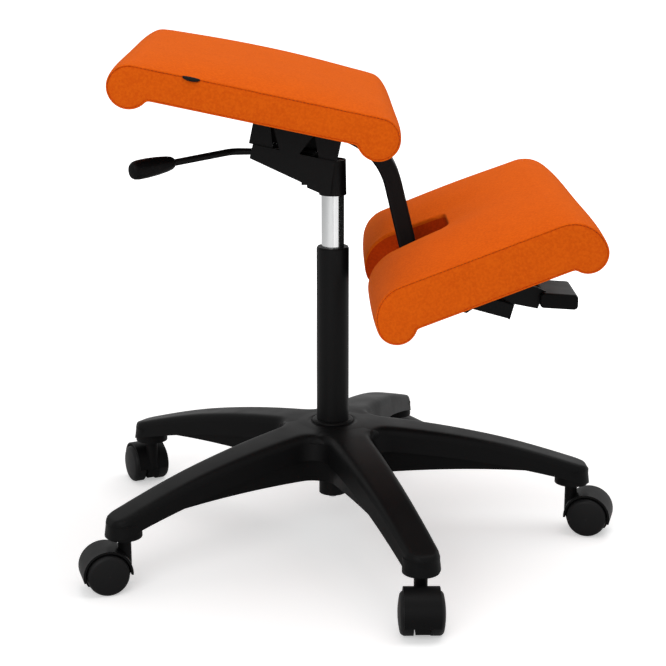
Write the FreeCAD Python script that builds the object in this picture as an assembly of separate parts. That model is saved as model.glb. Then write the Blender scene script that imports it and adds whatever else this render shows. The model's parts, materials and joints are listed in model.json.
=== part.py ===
import FreeCAD, Part
import math
import os

# Kneeling chair in millimetres: a seat that slopes forward and a knee pad on a bent bar,
# carried by a gas lift on a five-arm castor base.
# The origin is on the floor under the column. +X is the sitter's forward, +Z is up.

V = FreeCAD.Vector
UP = V(0, 0, 1)
ACROSS = V(0, 1, 0)
RUNNING_GAP = 0.05
LOOSE_GAP = 0.3

# Castor base: heights are given at the axis, half way out and at the end of the arms
ARM_COUNT = 5
CASTOR_CIRCLE = 304.6
ARM_PROFILE_REACH = 330.0
ARM_TOP_HEIGHTS = (145.2, 124.8, 81.2)
ARM_SKIRT_HEIGHTS = (121.1, 103.6, 64.7)
KEEL_HEIGHTS = (79.0, 87.5, 83.3)
KEEL_REACH = 262.0
ARM_HALF_AT_AXIS = 28.6
ARM_HALF_AT_CASTOR = 11.3
ARM_REACH = 315.8
OUTLINE_TOP = 155.0
OUTLINE_BOTTOM = 60.0
SIDE_FLARE = 11.9
GAP_FILLET = 26.0
TIP_ROUNDNESS = 0.96
KEEL_TOP = 126.0
KEEL_HALF_AT_AXIS = 28.0
KEEL_HALF_AT_CASTOR = 15.0
KEEL_DRAW_IN = 12.0
BASE_WALL = 4.0
ARM_EDGE = 2.5
RIB_THICKNESS = 3.5
RIB_RADII = (92.0, 142.0, 192.0, 242.0)
HUB_RADIUS = 31.0
HUB_BOTTOM = 80.0
BOSS_RADIUS = 21.25
BOSS_BOTTOM = 64.3
COLLAR_RADIUS = 26.0
COLLAR_BOTTOM = 145.0
COLLAR_TOP = 151.5

# Castors
WHEEL_RADIUS = 25.0
WHEEL_INNER_FACE = 9.5
WHEEL_TREAD_END = 18.5
WHEEL_BEVEL_RADIUS = 20.5
WHEEL_BEVEL_FACE = 24.6
WHEEL_OUTER_FACE = 26.8
WHEEL_SHOULDER_DROP = 1.2
WHEEL_SHOULDER_BULGE = 0.9
CASTOR_TRAIL = 23.0
CASTOR_AXLE_RADIUS = 3.0
CASTOR_AXLE_HALF = 21.0
STEM_RADIUS = 5.5
STEM_CHAMFER = 1.0
STEM_BOTTOM = 44.0
STEM_TOP = 83.0
SLEEVE_WALL = 1.6
NECK_RADIUS = 7.8
NECK_TOP = 62.3
HOOD_INNER = 26.8
HOOD_OUTER = 29.4
HOOD_HALF_WIDTH = 20.5
HOOD_WEB_HALF = 8.0
HOOD_WEB_LAP = 1.0
HOOD_TAIL_ANGLE = -14.0
HOOD_STEM_ANGLE = 184.0
HOOD_WEB_BOTTOM = 8.6
CASTOR_HEADINGS = (-16.0, 30.0, 116.0, 196.0, 270.0)

# Gas lift
TUBE_RADIUS = 20.0
TUBE_FOOT_RADIUS = 17.25
TUBE_BOTTOM = 53.0
TUBE_TOP = 370.0
TUBE_BORE = 15.4
TAPER_BOTTOM = 80.0
TAPER_TOP = 148.0
TUBE_END_PLATE = 3.0
BUSH_RADIUS = 18.0
BUSH_BOTTOM = 262.0
BUSH_LIP = 2.4
BUSH_CHAMFER = 1.0
CYLINDER_RADIUS = 14.0
CYLINDER_BORE = 12.0
CYLINDER_BOTTOM = 190.0
CYLINDER_TOP = 478.5
GLAND_LENGTH = 25.0
VALVE_LENGTH = 11.0
ROD_RADIUS = 5.0
ROD_BOTTOM = 47.5
PISTON_BOTTOM = 297.0
PISTON_LENGTH = 12.0
CLIP_RADIUS = 9.0
CLIP_THICKNESS = 2.0
CLIP_SWEEP = 290.0
BEARING_RADIUS = 14.0
BEARING_HEIGHT = 5.0
BEARING_GROOVE = 1.5
BUFFER_RADIUS = 12.5
BUFFER_HEIGHT = 18.0
BUTTON_RADIUS = 4.0
BUTTON_RISE = 5.5
BUTTON_LENGTH = 17.0

# Seat: a tilted frame whose s runs forward down the slope and n is square to the underside
SEAT_ORIGIN = V(-85.0, 0, 552.5)
SEAT_TILT = -12.0
SEAT_WIDTH = 450.0
SEAT_ROLL_RADIUS = 24.3
SEAT_ROLL_REAR = -141.3
SEAT_ROLL_FRONT = 132.2
SEAT_THICKNESS = 36.0
SEAT_CROWN = 4.0
EDGE_DRAW_IN = 3.0
EDGE_DEPTH = 6.0
BOARD_THICKNESS = 10.0
SEAT_BOARD_REAR = -108.0
SEAT_BOARD_FRONT = 99.0
BOARD_HALF_WIDTH = 200.0
BOARD_CORNER = 25.0
TAG_START = -87.0
TAG_LENGTH = 19.0
TAG_HEIGHT = 5.0
TAG_THICKNESS = 1.2

# Knee pad: the same kind of frame, tilted the other way
PAD_ORIGIN = V(175.0, 0, 356.7)
PAD_TILT = 21.0
PAD_WIDTH = 452.0
PAD_REAR = -132.0
PAD_FRONT = 138.5
PAD_THICKNESS = 54.0
PAD_CROWN = 6.0
PAD_ROLL_RADIUS = 23.0
PAD_ROLL_HEIGHT = 13.2
SLOT_FRONT = -16.0
SLOT_HALF_FRONT = 38.0
SLOT_HALF_REAR = 60.0
SLOT_CORNER = 11.0
PAD_BOARD_REAR = -78.0
PAD_BOARD_FRONT = 88.0

# Support bar: a rectangular tube bent twice between the seat and the knee pad
BAR_DEPTH = 21.6
BAR_WIDTH = 44.0
BAR_WALL = 2.5
BAR_EDGE = 4.0
BAR_REAR = -2.0
BAR_DROP_ANGLE = -76.3
BAR_FOOT_ANGLE = -15.5
BAR_DROP_POINT = V(84.9, 0, 402.2)
BAR_FOOT_POINT = V(218.7, 0, 294.8)
BAR_UPPER_BEND = 88.5
BAR_LOWER_BEND = 60.0
CAP_THICKNESS = 2.0
CAP_PLUG = 8.0

# Mechanism under the seat
SEAT_PLATE_THICKNESS = 5.0
SEAT_PLATE_REAR = -75.0
SEAT_PLATE_FRONT = 102.0
SEAT_PLATE_HALF = 85.0
CHANNEL_HALF = 24.5
CHANNEL_WALL = 2.3
CHANNEL_REAR = -100.0
CHANNEL_REAR_BOTTOM = 485.0
CHANNEL_STEP = V(-31.5, 0, 452.5)
CHANNEL_STEP_DROP = 3.2
CHANNEL_FRONT_BOTTOM = V(-3.5, 0, 440.0)
CHANNEL_LIP_LENGTH = 9.0
CHANNEL_LIP_RISE = 0.8
CHANNEL_FLOOR_REAR = -86.0
RIM_DEPTH = 52.0
RIM_REAR = 0.0
RIM_FRONT = 100.0
RIM_PLATE_LENGTH = 24.0
TAB_REAR_FOOT = 32.5
TAB_FRONT_FOOT = 56.5
TAB_SPREAD = 0.5
TAB_TOP = 8.0
SOCKET_BOTTOM = 437.0
SOCKET_TOP = 480.0
SOCKET_RADIUS_BOTTOM = 16.8
SOCKET_RADIUS_TOP = 16.0
SOCKET_WEB_REAR = -38.0
SOCKET_WEB_SHORT = 3.0
SOCKET_WEB_RISE = 12.0
SOCKET_WEB_DROP = 8.0
SPACER_REAR_ENDS = (-5.0, 31.0)
SPACER_FRONT_ENDS = (57.0, 103.0)
SPACER_BOLT_PLACES = (13.0, 90.0)
SPACER_HALF = 22.0
SPACER_WALL = 4.0
SPACER_CAP = 9.0
BOLT_RADIUS = 4.0
BOLT_HEAD_RADIUS = 7.0
BOLT_HEAD_HEIGHT = 4.5
BAR_BOLT_PLACE = 44.0
BAR_BOLT_SPREAD = 12.0
SCREW_RADIUS = 2.5
SCREW_HEAD_RADIUS = 5.5
SCREW_HEAD_HEIGHT = 2.6
SCREW_DEPTH = 7.5
SCREW_INSET = 12.0

# Gas lever
LEVER_RADIUS = 3.5
LEVER_HEIGHT = 489.5
LEVER_PIVOT_X = -60.0
LEVER_PIN_RADIUS = 2.5
LEVER_HUB_RADIUS = 5.6
LEVER_HUB_HALF = 9.0
LEVER_TONGUE_END = 3.0
LEVER_TONGUE_HALF = 4.5
LEVER_TONGUE_LENGTH = 40.0
LEVER_RISER = 8.0
LEVER_ROOM = 2.0
LEVER_BEND_X = -122.0
LEVER_BEND_RADIUS = 22.0
LEVER_GRIP_START = V(-186.0, -66.0, 487.0)
LEVER_TIP = V(-232.0, -117.0, 485.0)
GRIP_SIZES = ((6.0, 5.4), (8.0, 6.4), (10.5, 8.2), (11.6, 8.8), (8.2, 6.2))
GRIP_PLACES = (-6.0, 2.0, 26.0, 58.0, 68.5)

# Knee pad carriage and its release lever; u runs down the bar's foot and w is square to it
CARRIAGE_WALL = 3.0
CARRIAGE_START = 4.0
CARRIAGE_GRIP = 28.0
CARRIAGE_GUIDE = 50.0
LINER_THICKNESS = 2.0
CARRIAGE_TOP_PLATE = 5.0
CARRIAGE_REAR = -13.0
CARRIAGE_FRONT = 78.0
CARRIAGE_PLATE_HALF = 60.0
CARRIAGE_CHEEK_REAR = -12.0
CARRIAGE_CHEEK_FRONT = 62.0
RELEASE_PIVOT = V(186.0, 0, 333.0)
RELEASE_PIN_RADIUS = 3.0
RELEASE_HUB_RADIUS = 8.5
RELEASE_ARM_WALL = 3.0
RELEASE_ARM_LOW = V(219.5, 0, 306.0)
RELEASE_ARM_FOOT = V(250.5, 0, 299.8)
RELEASE_ARM_CREST = 5.0
RELEASE_TIE_BACK = 12.0
RELEASE_TIE_DROP = 6.0
PADDLE_HALF = 39.0
PADDLE_REAR = 252.5
PADDLE_FRONT = 299.0
PADDLE_TOP = 321.5
PADDLE_BOTTOM = 302.5
PADDLE_FALL = 3.0
PADDLE_EDGE = 5.0
PADDLE_TONGUE = 14.0
PADDLE_SKIN = 3.0


def line(start, end):
    return Part.LineSegment(start, end).toShape()


def arc(start, middle, end):
    return Part.Arc(start, middle, end).toShape()


def rounded_wire(corners):
    """Closed flat wire through (point, radius) corners, each turned by a tangent arc."""
    turns = []
    for index, (here, radius) in enumerate(corners):
        behind = (corners[index - 1][0] - here).normalize()
        ahead = (corners[(index + 1) % len(corners)][0] - here).normalize()
        half = behind.getAngle(ahead) / 2
        reach = radius / math.tan(half)
        inward = (behind + ahead).normalize() * (radius / math.sin(half) - radius)
        turns.append((here + behind * reach, here + inward, here + ahead * reach, radius))
    edges = []
    for index, (start, middle, end, radius) in enumerate(turns):
        if radius > 0:
            edges.append(arc(start, middle, end))
        following = turns[(index + 1) % len(turns)][0]
        if end.distanceToPoint(following) > 1e-6:
            edges.append(line(end, following))
    return Part.Wire(edges)


def prism(corners, travel):
    """Solid from rounded corners, pushed along a vector."""
    return Part.Face(rounded_wire(corners)).extrude(travel)


def sheet(points, near, far, radius=0.0):
    """Plate with its outline in the XZ plane, from Y = near to Y = far."""
    corners = [(V(point.x, near, point.z), radius) for point in points]
    return prism(corners, ACROSS * (far - near))


def turned(outline):
    """Solid of revolution about Z from (radius, height) pairs."""
    points = [V(radius, 0, height) for radius, height in outline]
    return Part.Face(Part.makePolygon(points + points[:1])).revolve(V(), UP, 360)


def ring(outer, inner, bottom, top):
    return turned([(inner, bottom), (outer, bottom), (outer, top), (inner, top)])


def pin(start, end, radius):
    return Part.makeCylinder(radius, start.distanceToPoint(end), start, end - start)


def placed(shape, origin, tilt):
    """Move a shape drawn with s along X and n along Z into a tilted frame."""
    moved = shape.copy()
    moved.rotate(V(), ACROSS, -tilt)
    moved.translate(origin)
    return moved


def tilted_point(origin, tilt, along, height):
    angle = math.radians(tilt)
    forward = V(math.cos(angle), 0, math.sin(angle))
    upward = V(-math.sin(angle), 0, math.cos(angle))
    return origin + forward * along + upward * height


def seat_point(along, height):
    return tilted_point(SEAT_ORIGIN, SEAT_TILT, along, height)


def pad_point(along, height):
    return tilted_point(PAD_ORIGIN, PAD_TILT, along, height)


def on_seat(shape):
    return placed(shape, SEAT_ORIGIN, SEAT_TILT)


def on_pad(shape):
    return placed(shape, PAD_ORIGIN, PAD_TILT)


def fused(shapes):
    return shapes[0].multiFuse(shapes[1:]).removeSplitter()


def heading(angle):
    return V(math.cos(math.radians(angle)), 0, math.sin(math.radians(angle)))


def square_to(angle):
    return heading(angle + 90)


def crossing(start_a, along_a, start_b, along_b):
    """Point where two lines of the XZ plane meet."""
    across = along_a.x * along_b.z - along_a.z * along_b.x
    gap = start_b - start_a
    return start_a + along_a * ((gap.x * along_b.z - gap.z * along_b.x) / across)


# Castor base

def star_outline(half_at_axis, half_at_castor, reach, height):
    """Plan outline of the arms: tapered sides, round ends and filleted gaps."""
    step = 2 * math.pi / ARM_COUNT
    taper = (half_at_castor - half_at_axis) / CASTOR_CIRCLE
    gap = half_at_axis / (math.sin(step / 2) - taper * math.cos(step / 2))
    half_end = half_at_axis + taper * reach
    corners = []
    for number in range(ARM_COUNT):
        outward = V(math.cos(step * number), math.sin(step * number), 0)
        aside = V(-outward.y, outward.x, 0)
        before = V(math.cos(step * (number - 0.5)), math.sin(step * (number - 0.5)), 0)
        corners.append((before * gap + UP * height, GAP_FILLET))
        for side in (-1, 1):
            tip = outward * reach + aside * (side * half_end) + UP * height
            corners.append((tip, half_end * TIP_ROUNDNESS))
    return rounded_wire(corners)


def star_prism(inset):
    """The arms' flared sides over the whole height, drawn in by an inset."""
    flat_top = star_outline(ARM_HALF_AT_AXIS - inset, ARM_HALF_AT_CASTOR - inset,
                            ARM_REACH - inset, OUTLINE_TOP)
    wide = SIDE_FLARE - inset
    flat_bottom = star_outline(ARM_HALF_AT_AXIS + wide, ARM_HALF_AT_CASTOR + wide,
                               ARM_REACH + wide, OUTLINE_BOTTOM)
    return Part.makeLoft([flat_bottom, flat_top], True, True)


def keel_prism(inset):
    """The deeper middle of the arms, which draws in towards its lower edge."""
    reach = KEEL_REACH - inset - LOOSE_GAP
    top = star_outline(KEEL_HALF_AT_AXIS - inset, KEEL_HALF_AT_CASTOR - inset, reach, KEEL_TOP)
    narrow = inset + KEEL_DRAW_IN
    bottom = star_outline(KEEL_HALF_AT_AXIS - narrow, KEEL_HALF_AT_CASTOR - inset - KEEL_DRAW_IN / 3,
                          reach, OUTLINE_BOTTOM)
    return Part.makeLoft([bottom, top], True, True)


def under_arch(heights, reach):
    """Body of revolution from the floor up to an arched profile given by three heights."""
    upper = [V(reach * part / 2, 0, height) for part, height in enumerate(heights)]
    foot = V(reach, 0, 0)
    edges = [arc(*upper), line(upper[2], foot), line(foot, V()), line(V(), upper[0])]
    return Part.Face(Part.Wire(edges)).revolve(V(), UP, 360)


def lowered(heights, drop):
    return tuple(height - drop for height in heights)


def around_arms(shape):
    return [shape.rotated(V(), UP, 360 / ARM_COUNT * number) for number in range(ARM_COUNT)]


def base_ribs():
    """One rib along each arm and four across it."""
    half = RIB_THICKNESS / 2
    ribs = [Part.makeBox(CASTOR_CIRCLE, RIB_THICKNESS, OUTLINE_TOP, V(0, -half, 0))]
    for radius in RIB_RADII:
        ribs.append(Part.makeBox(RIB_THICKNESS, 2 * BOSS_RADIUS * 2, OUTLINE_TOP,
                                 V(radius - half, -2 * BOSS_RADIUS, 0)))
    return around_arms(fused(ribs))


def taper_cone(clearance):
    """The column's taper, from its foot to above the hub."""
    return turned([(0, HUB_BOTTOM - 20), (TUBE_FOOT_RADIUS + clearance, HUB_BOTTOM - 20),
                   (TUBE_FOOT_RADIUS + clearance, TAPER_BOTTOM), (TUBE_RADIUS + clearance, TAPER_TOP),
                   (TUBE_RADIUS + clearance, OUTLINE_TOP), (0, OUTLINE_TOP)])


def top_edges(solid):
    """Edges where the arms' sides meet their arched top face."""
    chosen = []
    for edge in solid.Edges:
        middle = edge.valueAt((edge.FirstParameter + edge.LastParameter) / 2)
        if middle.z > arch_height(ARM_TOP_HEIGHTS, math.hypot(middle.x, middle.y)) - 1:
            chosen.append(edge)
    return chosen


def arch_height(heights, radius):
    """Height of the parabola through the same three heights as an arch."""
    part = radius / ARM_PROFILE_REACH
    bow = 2 * (heights[2] + heights[0] - 2 * heights[1])
    return heights[0] + (heights[2] - heights[0] - bow) * part + bow * part ** 2


def star_base():
    skirt = star_prism(0).common(under_arch(ARM_TOP_HEIGHTS, ARM_PROFILE_REACH))
    skirt = skirt.makeFillet(ARM_EDGE, top_edges(skirt))
    skirt = skirt.cut(under_arch(ARM_SKIRT_HEIGHTS, ARM_PROFILE_REACH))
    keel = keel_prism(0).common(under_arch(lowered(ARM_SKIRT_HEIGHTS, -BASE_WALL), ARM_PROFILE_REACH))
    keel = keel.cut(under_arch(KEEL_HEIGHTS, KEEL_REACH))
    hub = Part.makeCylinder(HUB_RADIUS, COLLAR_BOTTOM - HUB_BOTTOM, V(0, 0, HUB_BOTTOM))
    boss = Part.makeCylinder(BOSS_RADIUS, STEM_TOP - BOSS_BOTTOM, V(CASTOR_CIRCLE, 0, BOSS_BOTTOM))
    bosses = around_arms(boss)
    roof = under_arch(lowered(ARM_TOP_HEIGHTS, BASE_WALL), ARM_PROFILE_REACH)
    ledge = under_arch(lowered(ARM_SKIRT_HEIGHTS, -BASE_WALL), ARM_PROFILE_REACH)
    ledge = ledge.common(Part.makeCylinder(KEEL_REACH, OUTLINE_TOP))
    hollow = star_prism(BASE_WALL).cut(ledge).fuse(keel_prism(BASE_WALL)).common(roof)
    hollow = hollow.cut(fused([hub] + bosses + base_ribs()))
    body = fused([skirt, keel, hub] + bosses).cut(hollow)
    socket = Part.makeCylinder(STEM_RADIUS + RUNNING_GAP + SLEEVE_WALL, STEM_TOP - BOSS_BOTTOM,
                               V(CASTOR_CIRCLE, 0, BOSS_BOTTOM))
    return body.cut(fused([taper_cone(RUNNING_GAP)] + around_arms(socket)))


def castor_sleeves():
    inner = STEM_RADIUS + RUNNING_GAP
    sleeve = ring(inner + SLEEVE_WALL, inner, BOSS_BOTTOM, STEM_TOP)
    sleeve.translate(V(CASTOR_CIRCLE, 0, 0))
    return Part.makeCompound(around_arms(sleeve))


def hub_collar():
    inner = TUBE_RADIUS + RUNNING_GAP
    middle = (COLLAR_BOTTOM + COLLAR_TOP) / 2
    flat = COLLAR_RADIUS - (COLLAR_TOP - middle)
    edges = [line(V(inner, 0, COLLAR_BOTTOM), V(flat, 0, COLLAR_BOTTOM)),
             arc(V(flat, 0, COLLAR_BOTTOM), V(COLLAR_RADIUS, 0, middle), V(flat, 0, COLLAR_TOP)),
             line(V(flat, 0, COLLAR_TOP), V(inner, 0, COLLAR_TOP)),
             line(V(inner, 0, COLLAR_TOP), V(inner, 0, COLLAR_BOTTOM))]
    return Part.Face(Part.Wire(edges)).revolve(V(), UP, 360)


# Castors, drawn with the stem on Z and the wheels behind it along +X

def hood_sector(radius, half_width):
    """Disc sector about the wheel axle between the hood's two tails."""
    sweep = HOOD_STEM_ANGLE - HOOD_TAIL_ANGLE
    disc = Part.makeCylinder(radius, 2 * half_width, V(), UP, sweep)
    disc.rotate(V(), UP, HOOD_TAIL_ANGLE)
    disc.rotate(V(), V(1, 0, 0), 90)
    disc.translate(V(CASTOR_TRAIL, half_width, WHEEL_RADIUS))
    return disc


def axle_line(radius, half):
    start = V(CASTOR_TRAIL, -half, WHEEL_RADIUS)
    return Part.makeCylinder(radius, 2 * half, start, ACROSS)


def castor_hood():
    band = hood_sector(HOOD_OUTER, HOOD_HALF_WIDTH).cut(hood_sector(HOOD_INNER, HOOD_HALF_WIDTH))
    web = axle_line(HOOD_INNER + HOOD_WEB_LAP, HOOD_WEB_HALF)
    floor_side = Part.makeBox(4 * WHEEL_RADIUS, 4 * WHEEL_RADIUS, WHEEL_RADIUS + HOOD_WEB_BOTTOM,
                              V(-WHEEL_RADIUS, -2 * WHEEL_RADIUS, -WHEEL_RADIUS))
    neck_bottom = WHEEL_RADIUS
    neck = Part.makeCylinder(NECK_RADIUS, NECK_TOP - neck_bottom, V(0, 0, neck_bottom))
    body = fused([band, web.cut(floor_side), neck])
    stem_hole = Part.makeCylinder(STEM_RADIUS, NECK_TOP, V(0, 0, STEM_BOTTOM))
    return body.cut(stem_hole).cut(axle_line(CASTOR_AXLE_RADIUS, HOOD_WEB_HALF))


def castor_stem():
    stem = Part.makeCylinder(STEM_RADIUS, STEM_TOP - STEM_BOTTOM - LOOSE_GAP, V(0, 0, STEM_BOTTOM))
    top_edges_of_stem = [edge for edge in stem.Edges if edge.BoundBox.ZMin > STEM_BOTTOM + STEM_CHAMFER]
    return stem.makeChamfer(STEM_CHAMFER, top_edges_of_stem)


def castor_wheel(side):
    """Tread, bevelled shoulder and domed outer face, turned about the axle."""
    bore = CASTOR_AXLE_RADIUS + RUNNING_GAP
    bore_end = CASTOR_AXLE_HALF + LOOSE_GAP
    outline = [V(bore, 0, WHEEL_INNER_FACE), V(WHEEL_RADIUS, 0, WHEEL_INNER_FACE),
               V(WHEEL_RADIUS, 0, WHEEL_TREAD_END), V(WHEEL_BEVEL_RADIUS, 0, WHEEL_BEVEL_FACE),
               V(0, 0, WHEEL_OUTER_FACE), V(0, 0, bore_end), V(bore, 0, bore_end)]
    shoulder_face = (WHEEL_TREAD_END + WHEEL_BEVEL_FACE) / 2 + WHEEL_SHOULDER_BULGE
    shoulder = V(WHEEL_RADIUS - WHEEL_SHOULDER_DROP, 0, shoulder_face)
    rise = WHEEL_OUTER_FACE - WHEEL_BEVEL_FACE
    sphere = (WHEEL_BEVEL_RADIUS ** 2 + rise ** 2) / (2 * rise)
    half_turn = math.asin(WHEEL_BEVEL_RADIUS / sphere) / 2
    dome = V(sphere * math.sin(half_turn), 0, WHEEL_OUTER_FACE - sphere * (1 - math.cos(half_turn)))
    edges = [line(outline[0], outline[1]), line(outline[1], outline[2]),
             arc(outline[2], shoulder, outline[3]), arc(outline[3], dome, outline[4]),
             line(outline[4], outline[5]), line(outline[5], outline[6]), line(outline[6], outline[0])]
    wheel = Part.Face(Part.Wire(edges)).revolve(V(), UP, 360)
    wheel.rotate(V(), V(1, 0, 0), -90 * side)
    wheel.translate(V(CASTOR_TRAIL, 0, WHEEL_RADIUS))
    return wheel


def on_arm(shape, number):
    """Put a castor piece under its boss, at the heading its castor rests in."""
    angle = 2 * math.pi / ARM_COUNT * number
    moved = shape.rotated(V(), UP, CASTOR_HEADINGS[number])
    moved.translate(V(CASTOR_CIRCLE * math.cos(angle), CASTOR_CIRCLE * math.sin(angle), 0))
    return moved


# Gas lift

def column_tube():
    plate_top = TUBE_BOTTOM + TUBE_END_PLATE
    rod_hole = ROD_RADIUS + RUNNING_GAP
    return turned([(rod_hole, TUBE_BOTTOM), (TUBE_FOOT_RADIUS, TUBE_BOTTOM),
                   (TUBE_FOOT_RADIUS, TAPER_BOTTOM), (TUBE_RADIUS, TAPER_TOP), (TUBE_RADIUS, TUBE_TOP),
                   (BUSH_RADIUS, TUBE_TOP), (BUSH_RADIUS, BUSH_BOTTOM), (TUBE_BORE, BUSH_BOTTOM),
                   (TUBE_BORE, plate_top), (rod_hole, plate_top)])


def guide_bush():
    bore = CYLINDER_RADIUS + RUNNING_GAP
    lip = TUBE_TOP + BUSH_LIP
    return turned([(bore, BUSH_BOTTOM), (BUSH_RADIUS, BUSH_BOTTOM), (BUSH_RADIUS, TUBE_TOP),
                   (TUBE_RADIUS, TUBE_TOP), (TUBE_RADIUS - BUSH_CHAMFER, lip), (bore, lip)])


def thrust_bearing():
    """Two races with a groove between them."""
    bottom = TUBE_BOTTOM + TUBE_END_PLATE
    top = bottom + BEARING_HEIGHT
    low = bottom + 2 * BEARING_HEIGHT / 5
    high = bottom + 3 * BEARING_HEIGHT / 5
    bore = ROD_RADIUS + RUNNING_GAP
    inner = BEARING_RADIUS - BEARING_GROOVE
    return turned([(bore, bottom), (BEARING_RADIUS, bottom), (BEARING_RADIUS, low), (inner, low),
                   (inner, high), (BEARING_RADIUS, high), (BEARING_RADIUS, top), (bore, top)])


def buffer_ring():
    bottom = TUBE_BOTTOM + TUBE_END_PLATE + BEARING_HEIGHT
    return ring(BUFFER_RADIUS, ROD_RADIUS + LOOSE_GAP, bottom, bottom + BUFFER_HEIGHT)


def piston_rod():
    piston = CYLINDER_BORE - RUNNING_GAP
    top = PISTON_BOTTOM + PISTON_LENGTH
    return turned([(0, ROD_BOTTOM), (ROD_RADIUS, ROD_BOTTOM), (ROD_RADIUS, PISTON_BOTTOM),
                   (piston, PISTON_BOTTOM), (piston, top), (0, top)])


def rod_clip():
    """Open spring ring under the column's end plate."""
    bottom = V(0, 0, TUBE_BOTTOM - LOOSE_GAP - CLIP_THICKNESS)
    disc = Part.makeCylinder(CLIP_RADIUS, CLIP_THICKNESS, bottom, UP, CLIP_SWEEP)
    return disc.cut(Part.makeCylinder(ROD_RADIUS, CLIP_THICKNESS, bottom))


def gas_cylinder():
    gland_top = CYLINDER_BOTTOM + GLAND_LENGTH
    bore_top = CYLINDER_TOP - VALVE_LENGTH
    rod_hole = ROD_RADIUS + RUNNING_GAP
    valve_hole = BUTTON_RADIUS + RUNNING_GAP
    return turned([(rod_hole, CYLINDER_BOTTOM), (CYLINDER_RADIUS, CYLINDER_BOTTOM),
                   (CYLINDER_RADIUS, CYLINDER_TOP), (valve_hole, CYLINDER_TOP), (valve_hole, bore_top),
                   (CYLINDER_BORE, bore_top), (CYLINDER_BORE, gland_top), (rod_hole, gland_top)])


def release_button():
    top = CYLINDER_TOP + BUTTON_RISE
    return Part.makeCylinder(BUTTON_RADIUS, BUTTON_LENGTH, V(0, 0, top - BUTTON_LENGTH))


# Cushions and their boards

def seat_section(across, crown, inset):
    """Side profile of the seat: two full rolls joined by a flat slab, drawn in by an inset."""
    radius = SEAT_ROLL_RADIUS - inset
    middle = SEAT_THICKNESS - SEAT_ROLL_RADIUS
    top = SEAT_THICKNESS + crown - inset
    notch = math.sqrt(radius ** 2 - (middle - inset) ** 2)
    low = math.atan2(inset - middle, notch)
    rear = V(SEAT_ROLL_REAR, across, middle)
    front = V(SEAT_ROLL_FRONT, across, middle)
    half_way = V(math.cos(low / 2 - math.pi / 2), 0, math.sin(low / 2 - math.pi / 2)) * radius
    swung = V(-half_way.x, 0, half_way.z)
    left = rear + V(-radius, 0, 0)
    right = front + V(radius, 0, 0)
    rear_notch = rear + V(notch, 0, inset - middle)
    front_notch = front + V(-notch, 0, inset - middle)
    shoulder = V(radius * math.sqrt(0.5), 0, (top - middle) * math.sqrt(0.5))
    rear_top = V(SEAT_ROLL_REAR, across, top)
    front_top = V(SEAT_ROLL_FRONT, across, top)
    return Part.Wire([line(front_notch, rear_notch), arc(rear_notch, rear + swung, left),
                      quarter(left, rear_top, rear, shoulder, -1), line(rear_top, front_top),
                      quarter(front_top, right, front, shoulder, 1),
                      arc(right, front + half_way, front_notch)])


def quarter(start, end, centre, shoulder, side):
    return arc(start, centre + V(side * shoulder.x, 0, shoulder.z), end)


def pad_section(across, crown, inset):
    """Side profile of the knee pad: large top corners over smaller bottom rolls."""
    roll = PAD_ROLL_RADIUS - inset
    top = PAD_THICKNESS + crown - inset
    corner = top - PAD_ROLL_HEIGHT
    notch = math.sqrt(roll ** 2 - (PAD_ROLL_HEIGHT - inset) ** 2)
    low = math.atan2(inset - PAD_ROLL_HEIGHT, notch)
    half_way = V(math.cos(low / 2 - math.pi / 2), 0, math.sin(low / 2 - math.pi / 2)) * roll
    swung = V(-half_way.x, 0, half_way.z)
    rear = V(PAD_REAR + PAD_ROLL_RADIUS, across, PAD_ROLL_HEIGHT)
    front = V(PAD_FRONT - PAD_ROLL_RADIUS, across, PAD_ROLL_HEIGHT)
    left = rear + V(-roll, 0, 0)
    right = front + V(roll, 0, 0)
    rear_notch = rear + V(notch, 0, inset - PAD_ROLL_HEIGHT)
    front_notch = front + V(-notch, 0, inset - PAD_ROLL_HEIGHT)
    rear_centre = left + V(corner, 0, 0)
    front_centre = right + V(-corner, 0, 0)
    shoulder = V(corner, 0, corner) * math.sqrt(0.5)
    rear_top = rear_centre + UP * corner
    front_top = front_centre + UP * corner
    return Part.Wire([line(front_notch, rear_notch), arc(rear_notch, rear + swung, left),
                      quarter(left, rear_top, rear_centre, shoulder, -1), line(rear_top, front_top),
                      quarter(front_top, right, front_centre, shoulder, 1),
                      arc(right, front + half_way, front_notch)])


def cushion(section, width, crown):
    """Loft across the width: a crowned middle and edges that draw in towards the side panels."""
    half = width / 2
    inner = half - EDGE_DEPTH
    middle = Part.makeLoft([section(-inner, 0, 0), section(0, crown, 0), section(inner, 0, 0)], True, False)
    near = Part.makeLoft([section(-half, 0, EDGE_DRAW_IN), section(-inner, 0, 0)], True, True)
    far = Part.makeLoft([section(inner, 0, 0), section(half, 0, EDGE_DRAW_IN)], True, True)
    return near.fuse(middle).fuse(far)


def board(rear, front):
    corners = [(V(rear, -BOARD_HALF_WIDTH, 0), BOARD_CORNER), (V(front, -BOARD_HALF_WIDTH, 0), BOARD_CORNER),
               (V(front, BOARD_HALF_WIDTH, 0), BOARD_CORNER), (V(rear, BOARD_HALF_WIDTH, 0), BOARD_CORNER)]
    return prism(corners, UP * BOARD_THICKNESS)


def slot_cutter(margin):
    """Wedge-shaped slot, open at the rear, with rounded front corners."""
    spread = (SLOT_HALF_REAR - SLOT_HALF_FRONT) / (SLOT_FRONT - PAD_REAR)
    rear = PAD_REAR - 2 * PAD_ROLL_RADIUS
    half_front = SLOT_HALF_FRONT + margin
    half_rear = half_front + spread * (SLOT_FRONT - rear)
    front = SLOT_FRONT + margin
    bottom = -2 * PAD_ROLL_RADIUS
    corners = [(V(rear, -half_rear, bottom), 0.0), (V(front, -half_front, bottom), SLOT_CORNER),
               (V(front, half_front, bottom), SLOT_CORNER), (V(rear, half_rear, bottom), 0.0)]
    return prism(corners, UP * 4 * PAD_THICKNESS)


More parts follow.
